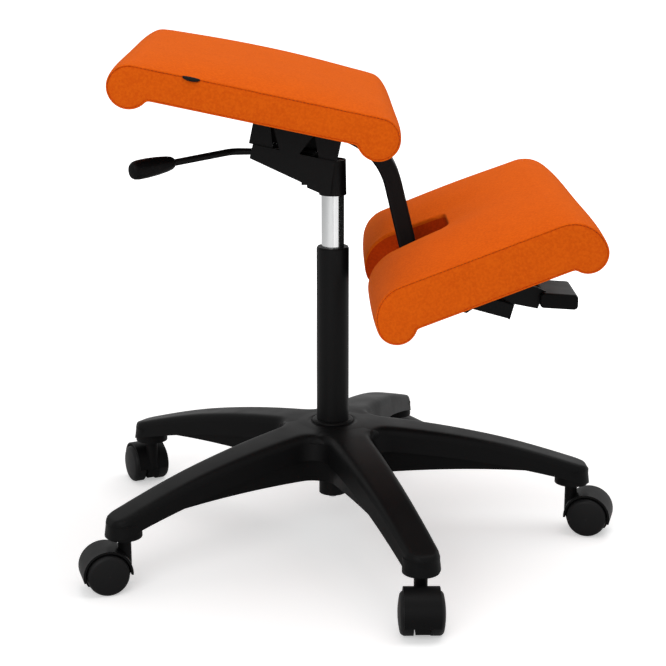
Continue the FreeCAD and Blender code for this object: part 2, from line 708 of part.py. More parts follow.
def seat_board():
    panel = board(SEAT_BOARD_REAR, SEAT_BOARD_FRONT)
    return on_seat(panel.cut(fused(seat_fixings())))


def seat_cushion():
    """Seat padding with a pocket for its board and a groove where the bar leaves under the front roll."""
    solid = cushion(seat_section, SEAT_WIDTH, SEAT_CROWN)
    pocketed = on_seat(solid.cut(board(SEAT_BOARD_REAR, SEAT_BOARD_FRONT)))
    return pocketed.cut(bar_solid(-LOOSE_GAP, 0))


def knee_board():
    panel = board(PAD_BOARD_REAR, PAD_BOARD_FRONT).cut(slot_cutter(BASE_WALL))
    return on_pad(panel.cut(fused(knee_screw_solids())))


def knee_cushion():
    solid = cushion(pad_section, PAD_WIDTH, PAD_CROWN).cut(slot_cutter(0))
    panel = board(PAD_BOARD_REAR, PAD_BOARD_FRONT).cut(slot_cutter(BASE_WALL))
    return on_pad(solid.cut(panel))


def seat_tag():
    """Small flat tag folded into the seam along the near side panel."""
    top = SEAT_THICKNESS
    start = V(TAG_START, -SEAT_WIDTH / 2 - TAG_THICKNESS, top - TAG_HEIGHT)
    return on_seat(Part.makeBox(TAG_LENGTH, TAG_THICKNESS, TAG_HEIGHT, start))


# Support bar

def bar_corners():
    """The bar's centre line: rear end, the two bend corners and the foot's end."""
    height = -SEAT_PLATE_THICKNESS - BAR_DEPTH / 2
    rear = seat_point(BAR_REAR, height)
    along_seat = seat_point(1, 0) - seat_point(0, 0)
    upper = crossing(rear, along_seat, BAR_DROP_POINT, heading(BAR_DROP_ANGLE))
    lower = crossing(BAR_DROP_POINT, heading(BAR_DROP_ANGLE), BAR_FOOT_POINT, heading(BAR_FOOT_ANGLE))
    return rear, upper, lower, BAR_FOOT_POINT


def bar_offset(distance, rear_stretch, foot_stretch):
    """Corners of a line beside the centre line, on its upper side for a positive distance."""
    rear, upper, lower, foot = bar_corners()
    angles = (SEAT_TILT, BAR_DROP_ANGLE, BAR_FOOT_ANGLE)
    start = rear - heading(SEAT_TILT) * rear_stretch + square_to(SEAT_TILT) * distance
    drop = upper + square_to(BAR_DROP_ANGLE) * distance
    end = foot + heading(BAR_FOOT_ANGLE) * foot_stretch + square_to(BAR_FOOT_ANGLE) * distance
    first = crossing(start, heading(angles[0]), drop, heading(angles[1]))
    second = crossing(drop, heading(angles[1]), end, heading(angles[2]))
    return [(start, 0.0), (first, BAR_UPPER_BEND + distance),
            (second, BAR_LOWER_BEND - distance), (end, 0.0)]


def bar_solid(inset, stretch):
    half = BAR_DEPTH / 2 - inset
    near = -(BAR_WIDTH / 2 - inset)
    corners = bar_offset(half, stretch, stretch) + bar_offset(-half, stretch, stretch)[::-1]
    return prism([(V(point.x, near, point.z), radius) for point, radius in corners], ACROSS * (-2 * near))


def long_edges(solid, half_width):
    """Edges that run along the bar on its two side faces."""
    chosen = []
    for edge in solid.Edges:
        box = edge.BoundBox
        on_side = abs(abs(box.YMin) - half_width) < 1e-4 and box.YLength < 1e-4
        if on_side and edge.Length > BAR_DEPTH + 1:
            chosen.append(edge)
    return chosen


def support_bar():
    outside = bar_solid(0, 0)
    rounded = outside.makeFillet(BAR_EDGE, long_edges(outside, BAR_WIDTH / 2))
    holes = [on_seat(solid) for solid in bar_bolt_solids() + spacer_bolt_solids()]
    return rounded.cut(bar_solid(BAR_WALL, 1)).cut(fused(holes))


def bar_end_caps():
    """Plugs that close the two ends of the tube."""
    rear, _, _, foot = bar_corners()
    caps = []
    for centre, angle in ((rear, SEAT_TILT + 180), (foot, BAR_FOOT_ANGLE)):
        out = heading(angle)
        lid = cap_block(centre, out, CAP_THICKNESS, 0)
        plug = cap_block(centre - out * CAP_PLUG, out, CAP_PLUG, BAR_WALL)
        caps.append(lid.fuse(plug).removeSplitter())
    return Part.makeCompound(caps)


def cap_block(start, out, length, inset):
    half = BAR_DEPTH / 2 - inset
    side = V(-out.z, 0, out.x) * half
    near = V(0, -(BAR_WIDTH / 2 - inset), 0)
    corners = [(start + side + near, 0.0), (start - side + near, 0.0),
               (start - side + near + out * length, 0.0), (start + side + near + out * length, 0.0)]
    return prism(corners, near * -2)


# Mechanism under the seat

def bar_bolt_solids():
    """Bolts from under the bar into the seat board, drawn in the seat's frame."""
    under = -SEAT_PLATE_THICKNESS - BAR_DEPTH
    bolts = []
    for across in (-BAR_BOLT_SPREAD, BAR_BOLT_SPREAD):
        foot = V(BAR_BOLT_PLACE, across, under)
        shank = pin(foot, V(BAR_BOLT_PLACE, across, SCREW_DEPTH), BOLT_RADIUS)
        head = pin(foot - UP * BOLT_HEAD_HEIGHT, foot, BOLT_HEAD_RADIUS)
        bolts.append(shank.fuse(head).removeSplitter())
    return bolts


def spacer_bolt_solids():
    """Countersunk bolts from the seat plate down through the bar into the spacers."""
    bottom = -SEAT_PLATE_THICKNESS - BAR_DEPTH - SPACER_CAP
    bolts = []
    for place in SPACER_BOLT_PLACES:
        shank = pin(V(place, 0, bottom), V(place, 0, -BOLT_HEAD_HEIGHT), BOLT_RADIUS)
        head = Part.makeCone(BOLT_RADIUS, BOLT_HEAD_RADIUS, BOLT_HEAD_HEIGHT, V(place, 0, -BOLT_HEAD_HEIGHT))
        bolts.append(shank.fuse(head).removeSplitter())
    return bolts


def screw_solids(places, under):
    """Pan-head screws from under a plate into the board above it."""
    screws = []
    for along, across in places:
        shank = pin(V(along, across, under), V(along, across, SCREW_DEPTH), SCREW_RADIUS)
        head = pin(V(along, across, under - SCREW_HEAD_HEIGHT), V(along, across, under), SCREW_HEAD_RADIUS)
        screws.append(shank.fuse(head).removeSplitter())
    return screws


def plate_corners(rear, front, half):
    return [(along, side * (half - SCREW_INSET))
            for along in (rear + SCREW_INSET, front - SCREW_INSET) for side in (-1, 1)]


def seat_screw_solids():
    places = plate_corners(SEAT_PLATE_REAR, SEAT_PLATE_FRONT, SEAT_PLATE_HALF)
    return screw_solids(places, -SEAT_PLATE_THICKNESS)


def knee_screw_solids():
    places = plate_corners(CARRIAGE_REAR, CARRIAGE_FRONT, CARRIAGE_PLATE_HALF)
    return screw_solids(places, -CARRIAGE_TOP_PLATE)


def seat_fixings():
    return seat_screw_solids() + bar_bolt_solids()


def flat_plate(rear, front, half, thickness):
    """Plate with rounded corners whose top is level with the underside of a cushion."""
    corners = [(V(along, side * half, -thickness), SCREW_INSET)
               for along, side in ((rear, -1), (front, -1), (front, 1), (rear, 1))]
    return prism(corners, UP * thickness)


def seat_plate():
    plate = flat_plate(SEAT_PLATE_REAR, SEAT_PLATE_FRONT, SEAT_PLATE_HALF, SEAT_PLATE_THICKNESS)
    return on_seat(plate.cut(fused(seat_fixings() + spacer_bolt_solids())))


def channel_outline():
    """Side of the channel: sloping bottom with a step, leaning front edge and a flared top tab."""
    step_foot = CHANNEL_STEP - UP * CHANNEL_STEP_DROP
    tab_lift = RIM_DEPTH - TAB_TOP
    return [V(CHANNEL_REAR, 0, CHANNEL_REAR_BOTTOM), CHANNEL_STEP, step_foot,
            CHANNEL_FRONT_BOTTOM + V(-CHANNEL_LIP_LENGTH, 0, CHANNEL_LIP_RISE), CHANNEL_FRONT_BOTTOM,
            seat_point(RIM_FRONT, -RIM_DEPTH), seat_point(TAB_FRONT_FOOT, -RIM_DEPTH),
            seat_point(TAB_FRONT_FOOT + TAB_SPREAD * tab_lift, -TAB_TOP),
            seat_point(TAB_REAR_FOOT - TAB_SPREAD * tab_lift, -TAB_TOP),
            seat_point(TAB_REAR_FOOT, -RIM_DEPTH), seat_point(RIM_REAR, -RIM_DEPTH)]


def rim_plate(rear):
    """Stretch of the channel's top, level with its rim."""
    corner = V(rear, -CHANNEL_HALF, -RIM_DEPTH - CHANNEL_WALL)
    return on_seat(Part.makeBox(RIM_PLATE_LENGTH, 2 * CHANNEL_HALF, CHANNEL_WALL, corner))


def socket_web(short, height):
    """Level plate that ties the column's socket to the sides of the channel."""
    inner = CHANNEL_HALF - CHANNEL_WALL
    corner = V(SOCKET_WEB_REAR, -inner, height)
    return Part.makeBox(-SOCKET_WEB_REAR - short, 2 * inner, CHANNEL_WALL, corner)


def mechanism_housing():
    """Folded channel with the column's taper socket welded into its front end."""
    outline = channel_outline()
    inner = CHANNEL_HALF - CHANNEL_WALL
    sides = [sheet(outline, -CHANNEL_HALF, -inner), sheet(outline, inner, CHANNEL_HALF)]
    slope = (CHANNEL_STEP.z - CHANNEL_REAR_BOTTOM) / (CHANNEL_STEP.x - CHANNEL_REAR)
    rear_height = CHANNEL_REAR_BOTTOM + slope * (CHANNEL_FLOOR_REAR - CHANNEL_REAR)
    floor_rear = V(CHANNEL_FLOOR_REAR, 0, rear_height)
    thick = UP * CHANNEL_WALL
    floor = sheet([floor_rear, CHANNEL_STEP, CHANNEL_STEP + thick, floor_rear + thick], -inner, inner)
    socket = turned([(0, SOCKET_BOTTOM), (SOCKET_RADIUS_BOTTOM, SOCKET_BOTTOM),
                     (SOCKET_RADIUS_TOP, SOCKET_TOP), (0, SOCKET_TOP)])
    webs = [socket_web(SOCKET_WEB_SHORT, CHANNEL_FRONT_BOTTOM.z + SOCKET_WEB_RISE),
            socket_web(0, SOCKET_TOP - SOCKET_WEB_DROP)]
    plates = [rim_plate(RIM_REAR), rim_plate(RIM_FRONT - RIM_PLATE_LENGTH)]
    body = fused(sides + [floor, socket] + webs + plates)
    bore_height = 2 * (SOCKET_TOP - SOCKET_BOTTOM)
    bore = Part.makeCylinder(CYLINDER_RADIUS + RUNNING_GAP, bore_height, V(0, 0, SOCKET_BOTTOM))
    return body.cut(fused([bore, lever_pin(), lever_way()]))


def lever_way():
    """Room for the gas lever's tongue to swing across the rim and the socket."""
    half = LEVER_TONGUE_HALF + LEVER_ROOM
    rear = LEVER_PIVOT_X + LEVER_TONGUE_LENGTH / 2
    length = LEVER_TONGUE_END + 2 * LEVER_ROOM - rear
    return Part.makeBox(length, 2 * half, 3 * BUTTON_LENGTH / 2,
                        V(rear, -half, CYLINDER_TOP - BUTTON_LENGTH / 2))


def spacer(ends):
    """Folded bracket between the channel's rim and the bar: a thick top over two cheeks."""
    rear, front = ends
    height = RIM_DEPTH - SEAT_PLATE_THICKNESS - BAR_DEPTH
    inner = SPACER_HALF - SPACER_WALL
    block = Part.makeBox(front - rear, 2 * SPACER_HALF, height, V(rear, -SPACER_HALF, -RIM_DEPTH))
    room = Part.makeBox(front - rear, 2 * inner, height - SPACER_CAP, V(rear, -inner, -RIM_DEPTH))
    folded = block.cut(room).cut(fused(spacer_bolt_solids()))
    return on_seat(folded).cut(bar_solid(0, 0))


def rear_spacer():
    return spacer(SPACER_REAR_ENDS)


def front_spacer():
    return spacer(SPACER_FRONT_ENDS)


def seat_bolts():
    return on_seat(Part.makeCompound(spacer_bolt_solids()))


def bar_bolts():
    return on_seat(Part.makeCompound(bar_bolt_solids()))


def seat_screws():
    return on_seat(Part.makeCompound(seat_screw_solids()))


# Gas lever

def lever_pin():
    pivot = V(LEVER_PIVOT_X, 0, LEVER_HEIGHT)
    return pin(pivot - ACROSS * CHANNEL_HALF, pivot + ACROSS * CHANNEL_HALF, LEVER_PIN_RADIUS)


def gas_lever_rod():
    """Round rod with a flat tongue over the valve, a pivot hub and a bend towards the sitter's hand."""
    tongue_start = LEVER_PIVOT_X + LEVER_TONGUE_LENGTH
    start = V(tongue_start, 0, LEVER_HEIGHT)
    bend = V(LEVER_BEND_X, 0, LEVER_HEIGHT)
    end = LEVER_GRIP_START + (LEVER_TIP - LEVER_GRIP_START) * 0.5
    behind = (start - bend).normalize()
    ahead = (end - bend).normalize()
    half = behind.getAngle(ahead) / 2
    reach = LEVER_BEND_RADIUS / math.tan(half)
    middle = bend + (behind + ahead).normalize() * (LEVER_BEND_RADIUS / math.sin(half) - LEVER_BEND_RADIUS)
    turn_in = bend + behind * reach
    turn_out = bend + ahead * reach
    path = Part.Wire([line(start, turn_in), arc(turn_in, middle, turn_out), line(turn_out, end)])
    rod = path.makePipeShell([Part.Wire(Part.makeCircle(LEVER_RADIUS, start, V(-1, 0, 0)))], True, False)
    tongue_bottom = CYLINDER_TOP + BUTTON_RISE + LOOSE_GAP
    corner = V(tongue_start - LEVER_RISER, -LEVER_TONGUE_HALF, tongue_bottom)
    tongue = Part.makeBox(LEVER_TONGUE_END - corner.x, 2 * LEVER_TONGUE_HALF, LEVER_RADIUS, corner)
    riser = Part.makeBox(LEVER_RISER, 2 * LEVER_TONGUE_HALF, LEVER_HEIGHT - tongue_bottom, corner)
    pivot = V(LEVER_PIVOT_X, 0, LEVER_HEIGHT)
    hub = pin(pivot - ACROSS * LEVER_HUB_HALF, pivot + ACROSS * LEVER_HUB_HALF, LEVER_HUB_RADIUS)
    hole = pin(pivot - ACROSS * CHANNEL_HALF, pivot + ACROSS * CHANNEL_HALF, LEVER_PIN_RADIUS + RUNNING_GAP)
    return fused([rod, tongue, riser, hub]).cut(hole)


def gas_lever_grip():
    """Tapered oval handle, fullest near its rounded end."""
    along = (LEVER_TIP - LEVER_GRIP_START).normalize()
    sections = []
    for place, (tall, wide) in zip(GRIP_PLACES, GRIP_SIZES):
        ellipse = Part.Ellipse(V(), tall, wide).toShape()
        ellipse.Placement = FreeCAD.Placement(V(), FreeCAD.Rotation(UP, ACROSS, V(1, 0, 0), "XZY"))
        turn = math.degrees(math.atan2(along.y, along.x))
        ellipse.rotate(V(), UP, turn)
        ellipse.translate(LEVER_GRIP_START + along * place)
        sections.append(Part.Wire(ellipse))
    handle = Part.makeLoft(sections, True, False)
    return handle.cut(gas_lever_rod())


# Knee pad carriage

def bar_foot_point(along, height):
    """Point beside the bar's straight foot, measured from where its bend ends."""
    _, _, lower, _ = bar_corners()
    turn = math.radians(BAR_FOOT_ANGLE - BAR_DROP_ANGLE)
    start = lower + heading(BAR_FOOT_ANGLE) * (BAR_LOWER_BEND * math.tan(turn / 2))
    return start + heading(BAR_FOOT_ANGLE) * along + square_to(BAR_FOOT_ANGLE) * height


def foot_block(start, end, low, high, near, far):
    points = [bar_foot_point(start, low), bar_foot_point(end, low), bar_foot_point(end, high),
              bar_foot_point(start, high)]
    return sheet(points, near, far)


def cheek_inner():
    return BAR_WIDTH / 2 + LINER_THICKNESS + RUNNING_GAP


def knee_carriage():
    """Wedge bracket: two cheeks under a top plate, closed by a strap below the bar."""
    half = BAR_DEPTH / 2
    strap_top = -half - LINER_THICKNESS - RUNNING_GAP
    strap_bottom = strap_top - CARRIAGE_WALL
    grip_end = CARRIAGE_START + CARRIAGE_GRIP
    guide_end = CARRIAGE_START + CARRIAGE_GUIDE
    outline = [bar_foot_point(CARRIAGE_START, strap_bottom), bar_foot_point(grip_end, strap_bottom),
               bar_foot_point(guide_end, half), pad_point(CARRIAGE_CHEEK_FRONT, -CARRIAGE_TOP_PLATE),
               pad_point(CARRIAGE_CHEEK_REAR, -CARRIAGE_TOP_PLATE), bar_foot_point(CARRIAGE_START, half)]
    inner = cheek_inner()
    outer = inner + CARRIAGE_WALL
    cheeks = [sheet(outline, -outer, -inner), sheet(outline, inner, outer)]
    strap = foot_block(CARRIAGE_START, grip_end, strap_bottom, strap_top, -inner, inner)
    bridge_low = half + LINER_THICKNESS + RUNNING_GAP
    bridge = foot_block(CARRIAGE_START, CARRIAGE_START + CARRIAGE_WALL * 3, bridge_low,
                        bridge_low + CARRIAGE_WALL, -inner, inner)
    plate = flat_plate(CARRIAGE_REAR, CARRIAGE_FRONT, CARRIAGE_PLATE_HALF, CARRIAGE_TOP_PLATE)
    screwed = on_pad(plate.cut(fused(knee_screw_solids())))
    return fused(cheeks + [strap, bridge, screwed]).cut(release_pin())


def bar_liners():
    """Plastic slides between the bar and the carriage, above, below and at both sides."""
    half = BAR_DEPTH / 2 + RUNNING_GAP
    side = BAR_WIDTH / 2 + RUNNING_GAP
    grip_end = CARRIAGE_START + CARRIAGE_GRIP
    guide_end = CARRIAGE_START + CARRIAGE_GUIDE
    lower = foot_block(CARRIAGE_START, grip_end, -half - LINER_THICKNESS, -half, -side, side)
    upper = foot_block(CARRIAGE_START, guide_end, half, half + LINER_THICKNESS, -side, side)
    near = foot_block(CARRIAGE_START, grip_end, -half - LINER_THICKNESS, half + LINER_THICKNESS,
                      -side - LINER_THICKNESS, -side)
    far = foot_block(CARRIAGE_START, grip_end, -half - LINER_THICKNESS, half + LINER_THICKNESS,
                     side, side + LINER_THICKNESS)
    return fused([lower, upper, near, far])


def knee_screws():
    return on_pad(Part.makeCompound(knee_screw_solids()))


def release_outer():
    return cheek_inner() + CARRIAGE_WALL + LOOSE_GAP + RELEASE_ARM_WALL


def release_pin():
    half = ACROSS * release_outer()
    return pin(RELEASE_PIVOT - half, RELEASE_PIVOT + half, RELEASE_PIN_RADIUS)


def release_lever():
    """Two arms beside the carriage, joined by a round tie."""
    outer = release_outer()
    inner = outer - RELEASE_ARM_WALL
    tongue_end = PADDLE_REAR + PADDLE_TONGUE
    tongue_low = PADDLE_BOTTOM + PADDLE_SKIN
    tongue_high = PADDLE_TOP - PADDLE_SKIN
    reach = RELEASE_HUB_RADIUS
    outline = [RELEASE_PIVOT + V(-reach, 0, 0), RELEASE_ARM_LOW, RELEASE_ARM_FOOT,
               V(PADDLE_REAR, 0, tongue_low), V(tongue_end, 0, tongue_low), V(tongue_end, 0, tongue_high),
               V(PADDLE_REAR - PADDLE_SKIN, 0, PADDLE_TOP + RELEASE_ARM_CREST),
               RELEASE_PIVOT + V(reach, 0, reach), RELEASE_PIVOT + V(-reach, 0, reach)]
    arms = [sheet(outline, -outer, -inner), sheet(outline, inner, outer)]
    cross = V(PADDLE_REAR - RELEASE_TIE_BACK, 0, PADDLE_TOP - RELEASE_TIE_DROP)
    tie = pin(cross - ACROSS * inner, cross + ACROSS * inner, RELEASE_ARM_WALL)
    hole = pin(RELEASE_PIVOT - ACROSS * outer * 2, RELEASE_PIVOT + ACROSS * outer * 2,
               RELEASE_PIN_RADIUS + RUNNING_GAP)
    return fused(arms + [tie]).cut(hole)


def release_paddle():
    """Wide finger paddle with soft edges, hollowed for the lever's arms."""
    near = -PADDLE_HALF
    fall = UP * PADDLE_FALL
    points = [V(PADDLE_REAR, 0, PADDLE_BOTTOM), V(PADDLE_FRONT, 0, PADDLE_BOTTOM) - fall,
              V(PADDLE_FRONT, 0, PADDLE_TOP) - fall, V(PADDLE_REAR, 0, PADDLE_TOP)]
    block = sheet(points, near, -near, PADDLE_EDGE)
    side_edges = [edge for edge in block.Edges if edge.BoundBox.YLength < 1e-4]
    soft = block.makeFillet(PADDLE_EDGE / 2, side_edges)
    return soft.cut(release_lever())


def save(name, shape):
    shape.exportStep("parts/" + name + ".step")


def main():
    os.makedirs("parts", exist_ok=True)
    pieces = [star_base, castor_sleeves, hub_collar, column_tube, guide_bush, thrust_bearing, buffer_ring,
              piston_rod, rod_clip, gas_cylinder, release_button, seat_board, seat_cushion, knee_board,
              knee_cushion, seat_tag, support_bar, bar_end_caps, seat_plate, mechanism_housing, rear_spacer,
              front_spacer, seat_bolts, bar_bolts, seat_screws, lever_pin, gas_lever_rod, gas_lever_grip,
              knee_carriage, bar_liners, knee_screws, release_pin, release_lever, release_paddle]
    for piece in pieces:
        save(piece.__name__, piece())
    hood = castor_hood()
    stem = castor_stem()
    axle = axle_line(CASTOR_AXLE_RADIUS, CASTOR_AXLE_HALF)
    for number in range(ARM_COUNT):
        name = "castor_" + str(number + 1)
        save(name + "_hood", on_arm(hood, number))
        save(name + "_stem", on_arm(stem, number))
        save(name + "_axle", on_arm(axle, number))
        save(name + "_wheel_left", on_arm(castor_wheel(1), number))
        save(name + "_wheel_right", on_arm(castor_wheel(-1), number))


main()
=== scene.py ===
"""Kneeling chair: cushions, seams and tag, finishes and fine shapes of the rigid parts, and the studio."""

import json
import math

import bmesh
import bpy
import numpy as np
from mathutils import Matrix, Vector, noise
from mathutils.bvhtree import BVHTree


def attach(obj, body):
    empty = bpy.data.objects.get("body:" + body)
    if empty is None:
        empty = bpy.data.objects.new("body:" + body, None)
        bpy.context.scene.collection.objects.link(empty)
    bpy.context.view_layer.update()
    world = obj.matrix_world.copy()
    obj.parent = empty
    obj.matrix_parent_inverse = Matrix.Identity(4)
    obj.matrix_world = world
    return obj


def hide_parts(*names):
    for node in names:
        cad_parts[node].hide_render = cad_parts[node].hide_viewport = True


bl_info = {
    "name": "Kneeling Chair Dressing",
    "version": (1, 0, 0),
    "blender": (4, 5, 0),
    "location": "View3D > Sidebar > Chair",
    "description": "Makes the cushions, seams, tag, finishes, fine shapes and studio of a kneeling chair",
    "category": "Object",
}

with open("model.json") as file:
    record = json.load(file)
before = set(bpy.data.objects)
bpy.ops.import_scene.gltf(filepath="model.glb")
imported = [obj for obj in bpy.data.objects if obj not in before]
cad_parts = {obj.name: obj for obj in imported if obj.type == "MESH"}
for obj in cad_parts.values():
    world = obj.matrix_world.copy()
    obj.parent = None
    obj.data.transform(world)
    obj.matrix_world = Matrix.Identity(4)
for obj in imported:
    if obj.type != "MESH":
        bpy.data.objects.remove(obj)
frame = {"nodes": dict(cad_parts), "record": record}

# Seat profile, in metres, in the seat's own sloping frame, and its rows and steps
SEAT_ORIGIN = Vector((-0.085, 0.0, 0.5525))
SEAT_TILT = math.radians(12.0)
SEAT_ROLL_RADIUS = 0.0243
SEAT_ROLL_REAR = -0.1413
SEAT_ROLL_FRONT = 0.1322
SEAT_THICKNESS = 0.036
SEAT_ROWS = 66
SEAT_TOP_STEPS = 52
SEAT_TOP_ROLL_STEPS = 10
SEAT_BOTTOM_STEPS = 44
SEAT_BOTTOM_ROLL_STEPS = 14
SEAT_SEED = 3.0

# Knee pad profile, in metres, in the pad's own sloping frame, and its rows and steps
PAD_ORIGIN = Vector((0.175, 0.0, 0.3567))
PAD_TILT = math.radians(-21.0)
PAD_REAR = -0.132
PAD_FRONT = 0.1385
PAD_THICKNESS = 0.054
PAD_ROLL_RADIUS = 0.023
PAD_ROLL_HEIGHT = 0.0132
PAD_STEPS = 14
PAD_AHEAD_STEPS = 20
PAD_SIDE_ROWS = 27
PAD_MIDDLE_ROWS = 19
PAD_SEED = 8.0

# Slot of the knee pad
SLOT_FRONT = -0.016
SLOT_HALF_FRONT = 0.038
SLOT_HALF_REAR = 0.060
SLOT_CORNER = 0.011
SLOT_EDGE_RADIUS = 0.0025
SLOT_WALL_ROWS = 7
SLOT_DIP_REACH = 0.045
SLOT_WALL_STEPS = (0.0, 0.0003, 0.0009, 0.0017, 0.0027, 0.0050, 0.0090)

# Dome of the cushions: how square it is across, and the share of the length where the ends' bow starts
DOME_POWER = 4
DOME_END = 0.75

# Cushion edges: the tuck at a seam, the rounding into it, and a side panel's rows as steps out and inwards
TUCK_DEPTH = 0.0020
TUCK_INSET = 0.0004
SEAM_DEPTH = 0.0012
BOTTOM_LIFT = 0.0008
ROUND_STEPS = (0.0, 0.10, 0.28, 0.58, 1.0)
PANEL_STEPS = ((-TUCK_DEPTH, 0.0), (-0.0007, 0.0003), (-0.0002, 0.0009), (0.0002, 0.0025),
               (0.0007, 0.0050), (0.0010, 0.0080))

# Filling of the covers: the cloth, and which parts of it are held
FILL_FRAMES = 20
FILL_CLOTH = {"quality": 6, "mass": 0.4, "tension_stiffness": 40.0, "compression_stiffness": 40.0,
              "shear_stiffness": 20.0, "bending_stiffness": 4.0, "use_pressure": True}
UNDERSIDE = 0.006
HOLD_BAND = 0.0004
HOLD_DEPTH = 0.0016
SEAM_ZONE = 0.006

# Unevenness of the stuffing, and puckers along the seams
STUFFING_SCALE = 9.0
STUFFING_DEPTH = 0.0004
STUFFING_SKEW = 0.37
PUCKER_REACH = 0.03
PUCKER_SCALE = 95.0
PUCKER_DEPTH = 0.0003
PUCKER_FADE = 0.007

# Stitches: the nodes that sew them and the links between these, each from an output to an input
STITCH_SIDES = 6
STITCH_RINGS = 4
STITCH_NODES = {
    "source": "NodeGroupInput", "result": "NodeGroupOutput", "curve": "GeometryNodeMeshToCurve",
    "resample": "GeometryNodeResampleCurve", "tangent": "GeometryNodeInputTangent",
    "align": "FunctionNodeAlignRotationToVector", "stitch": "GeometryNodeMeshUVSphere",
    "scale": "ShaderNodeCombineXYZ", "half": "ShaderNodeMath", "place": "GeometryNodeInstanceOnPoints",
    "real": "GeometryNodeRealizeInstances", "paint": "GeometryNodeSetMaterial",
}
STITCH_LINKS = (
    ("source", "Geometry", "curve", "Mesh"), ("curve", "Curve", "resample", "Curve"),
    ("source", "Stitch Spacing", "resample", "Length"), ("tangent", "Tangent", "align", "Vector"),
    ("source", "Stitch Length", "half", 0), ("source", "Thread Radius", "scale", "X"),
    ("source", "Thread Radius", "scale", "Y"), ("half", "Value", "scale", "Z"),
    ("resample", "Curve", "place", "Points"), ("stitch", "Mesh", "place", "Instance"),
    ("align", "Rotation", "place", "Rotation"), ("scale", "Vector", "place", "Scale"),
    ("place", "Instances", "real", "Geometry"), ("real", "Geometry", "paint", "Geometry"),
    ("paint", "Geometry", "result", "Geometry"),
)

# Tag: steps along it, its loop as distance out of the seam and height over it, and where it is sewn in
TAG_STEPS = 16
TAG_LOOP = ((0.0, 0.0004), (0.0014, 0.0012), (0.0032, 0.0014), (0.0050, 0.0006), (0.0060, -0.0010),
            (0.0062, -0.0024), (0.0054, -0.0032), (0.0044, -0.0026), (0.0032, -0.0012), (0.0016, -0.0006))
TAG_LEAST = 0.25
TAG_ROOT = 0.0012
TAG_DROP = 0.0010

# Raised tops of the base's arms: start, end and rolled tip, how the rise changes along an arm, and rows
ARM_COUNT = 5
CROWN_START = 0.0325
CROWN_END = 0.3253
CROWN_TIP = 0.016
CROWN_HUB_SHARE = 0.77
CROWN_FADE_IN = 0.040
CROWN_FALL_START = 0.20
CROWN_FALL_LENGTH = 0.12
CROWN_FALL = 0.26
CROWN_POWER = 9
CROWN_SINK = 0.0007
CROWN_ROWS = 60
CROWN_TIP_ROWS = 14
CROWN_COLUMNS = 28

# Edge of an arm: the drop that marks it, the fall allowed before it, and the start and step of the rays
ARM_EDGE_DROP = 0.0016
ARM_FALL = 0.05
ARM_WIDEST = 0.048
ARM_STEP = 0.00025
RAY_START = 0.3

# Raised ring on the hub round the column's collar, as radius and height
HUB_RING = ((0.0262, 0.1410), (0.0262, 0.1488), (0.0325, 0.1484), (0.0410, 0.14778), (0.0470, 0.1470),
            (0.0520, 0.1462), (0.0520, 0.1410))
HUB_SEGMENTS = 96

# Gas lever: where its rod grows thicker, and its grip as places along it, half heights and half widths
THICK_ROD_START = -0.100
THICK_ROD_FADE = 0.012
GRIP_START = Vector((-0.186, -0.066, 0.487))
GRIP_TIP = Vector((-0.232, -0.117, 0.485))
GRIP_PLACES = (0.0020, 0.0032, 0.0062, 0.0130, 0.0280, 0.0450, 0.0580, 0.0640, 0.0672, 0.0685)
GRIP_TALL = (0.0045, 0.0062, 0.0078, 0.0092, 0.0108, 0.0116, 0.0115, 0.0106, 0.0088, 0.0060)
GRIP_WIDE = (0.0040, 0.0052, 0.0063, 0.0072, 0.0083, 0.0088, 0.0088, 0.0081, 0.0066, 0.0044)
GRIP_SEGMENTS = 40

# Paint on the gas cylinder's end, round the release button, as radius and height
END_PAINT = ((0.0139, 0.4785), (0.0139, 0.4788), (0.0043, 0.4788), (0.0043, 0.4785))
END_SEGMENTS = 40

# Folded brackets between the mechanism and the bar: their sides, as places along the seat and depths under it
SPACER_HALF = 0.0219
SPACER_WALL = 0.004
SPACER_CAP = 0.009
SPACER_LAP = 0.001
SPACER_INNER_WALL = (0.0105, 0.0125)
SPACER_WALL_LIFT = 0.002
SPACER_MIDDLE = 0.0445
REAR_SPACER = ((-0.0050, -0.0520), (0.0241, -0.0520), (0.0164, -0.0266), (-0.0050, -0.0266))
FRONT_SPACER = ((0.0804, -0.0520), (0.1030, -0.0520), (0.1030, -0.0266), (0.0700, -0.0266))
SHARP_ANGLE = math.radians(35.0)

# Merging of a new mesh
MERGE_DISTANCE = 2e-5
SLIVER_LENGTH = 1e-6

# Felt: scales of its flecks, patches and fuzz, and how its surface takes light
FELT_FLECKS = 360.0
FELT_PATCHES = 34.0
FELT_FUZZ = 900.0
FELT_SURFACE = {"Roughness": 0.92, "Specular IOR Level": 0.05, "Sheen Weight": 0.04, "Sheen Roughness": 0.45,
                "Sheen Tint": (1.0, 0.70, 0.10, 1.0)}

# Other finishes: scale and darkest shade of their patches, and the range of their gloss
PATCH_SCALE = 22.0
PATCH_SHADE = 0.82
GLOSS_RANGE = (0.9, 1.1)

# Camera found from the photograph
CAMERA_PLACE = Vector((-0.02617, -2.0392, 0.8035))
CAMERA_YAW = math.radians(0.744)
CAMERA_PITCH = math.radians(14.875)
CAMERA_LENS = 91.58
CAMERA_SENSOR = 36.0

# Cards that the plated gas cylinder reflects: a pale one up to the split, a dark one beyond it
CARD_SIDE = 0.036
CARD_NEAR = -0.260
CARD_SPLIT = -0.030
CARD_FAR = 0.110
CARD_BOTTOM = 0.33
CARD_TOP = 0.475
CARD_GLOW = 0.62
CARD_DARK = (0.03, 0.03, 0.03, 1.0)

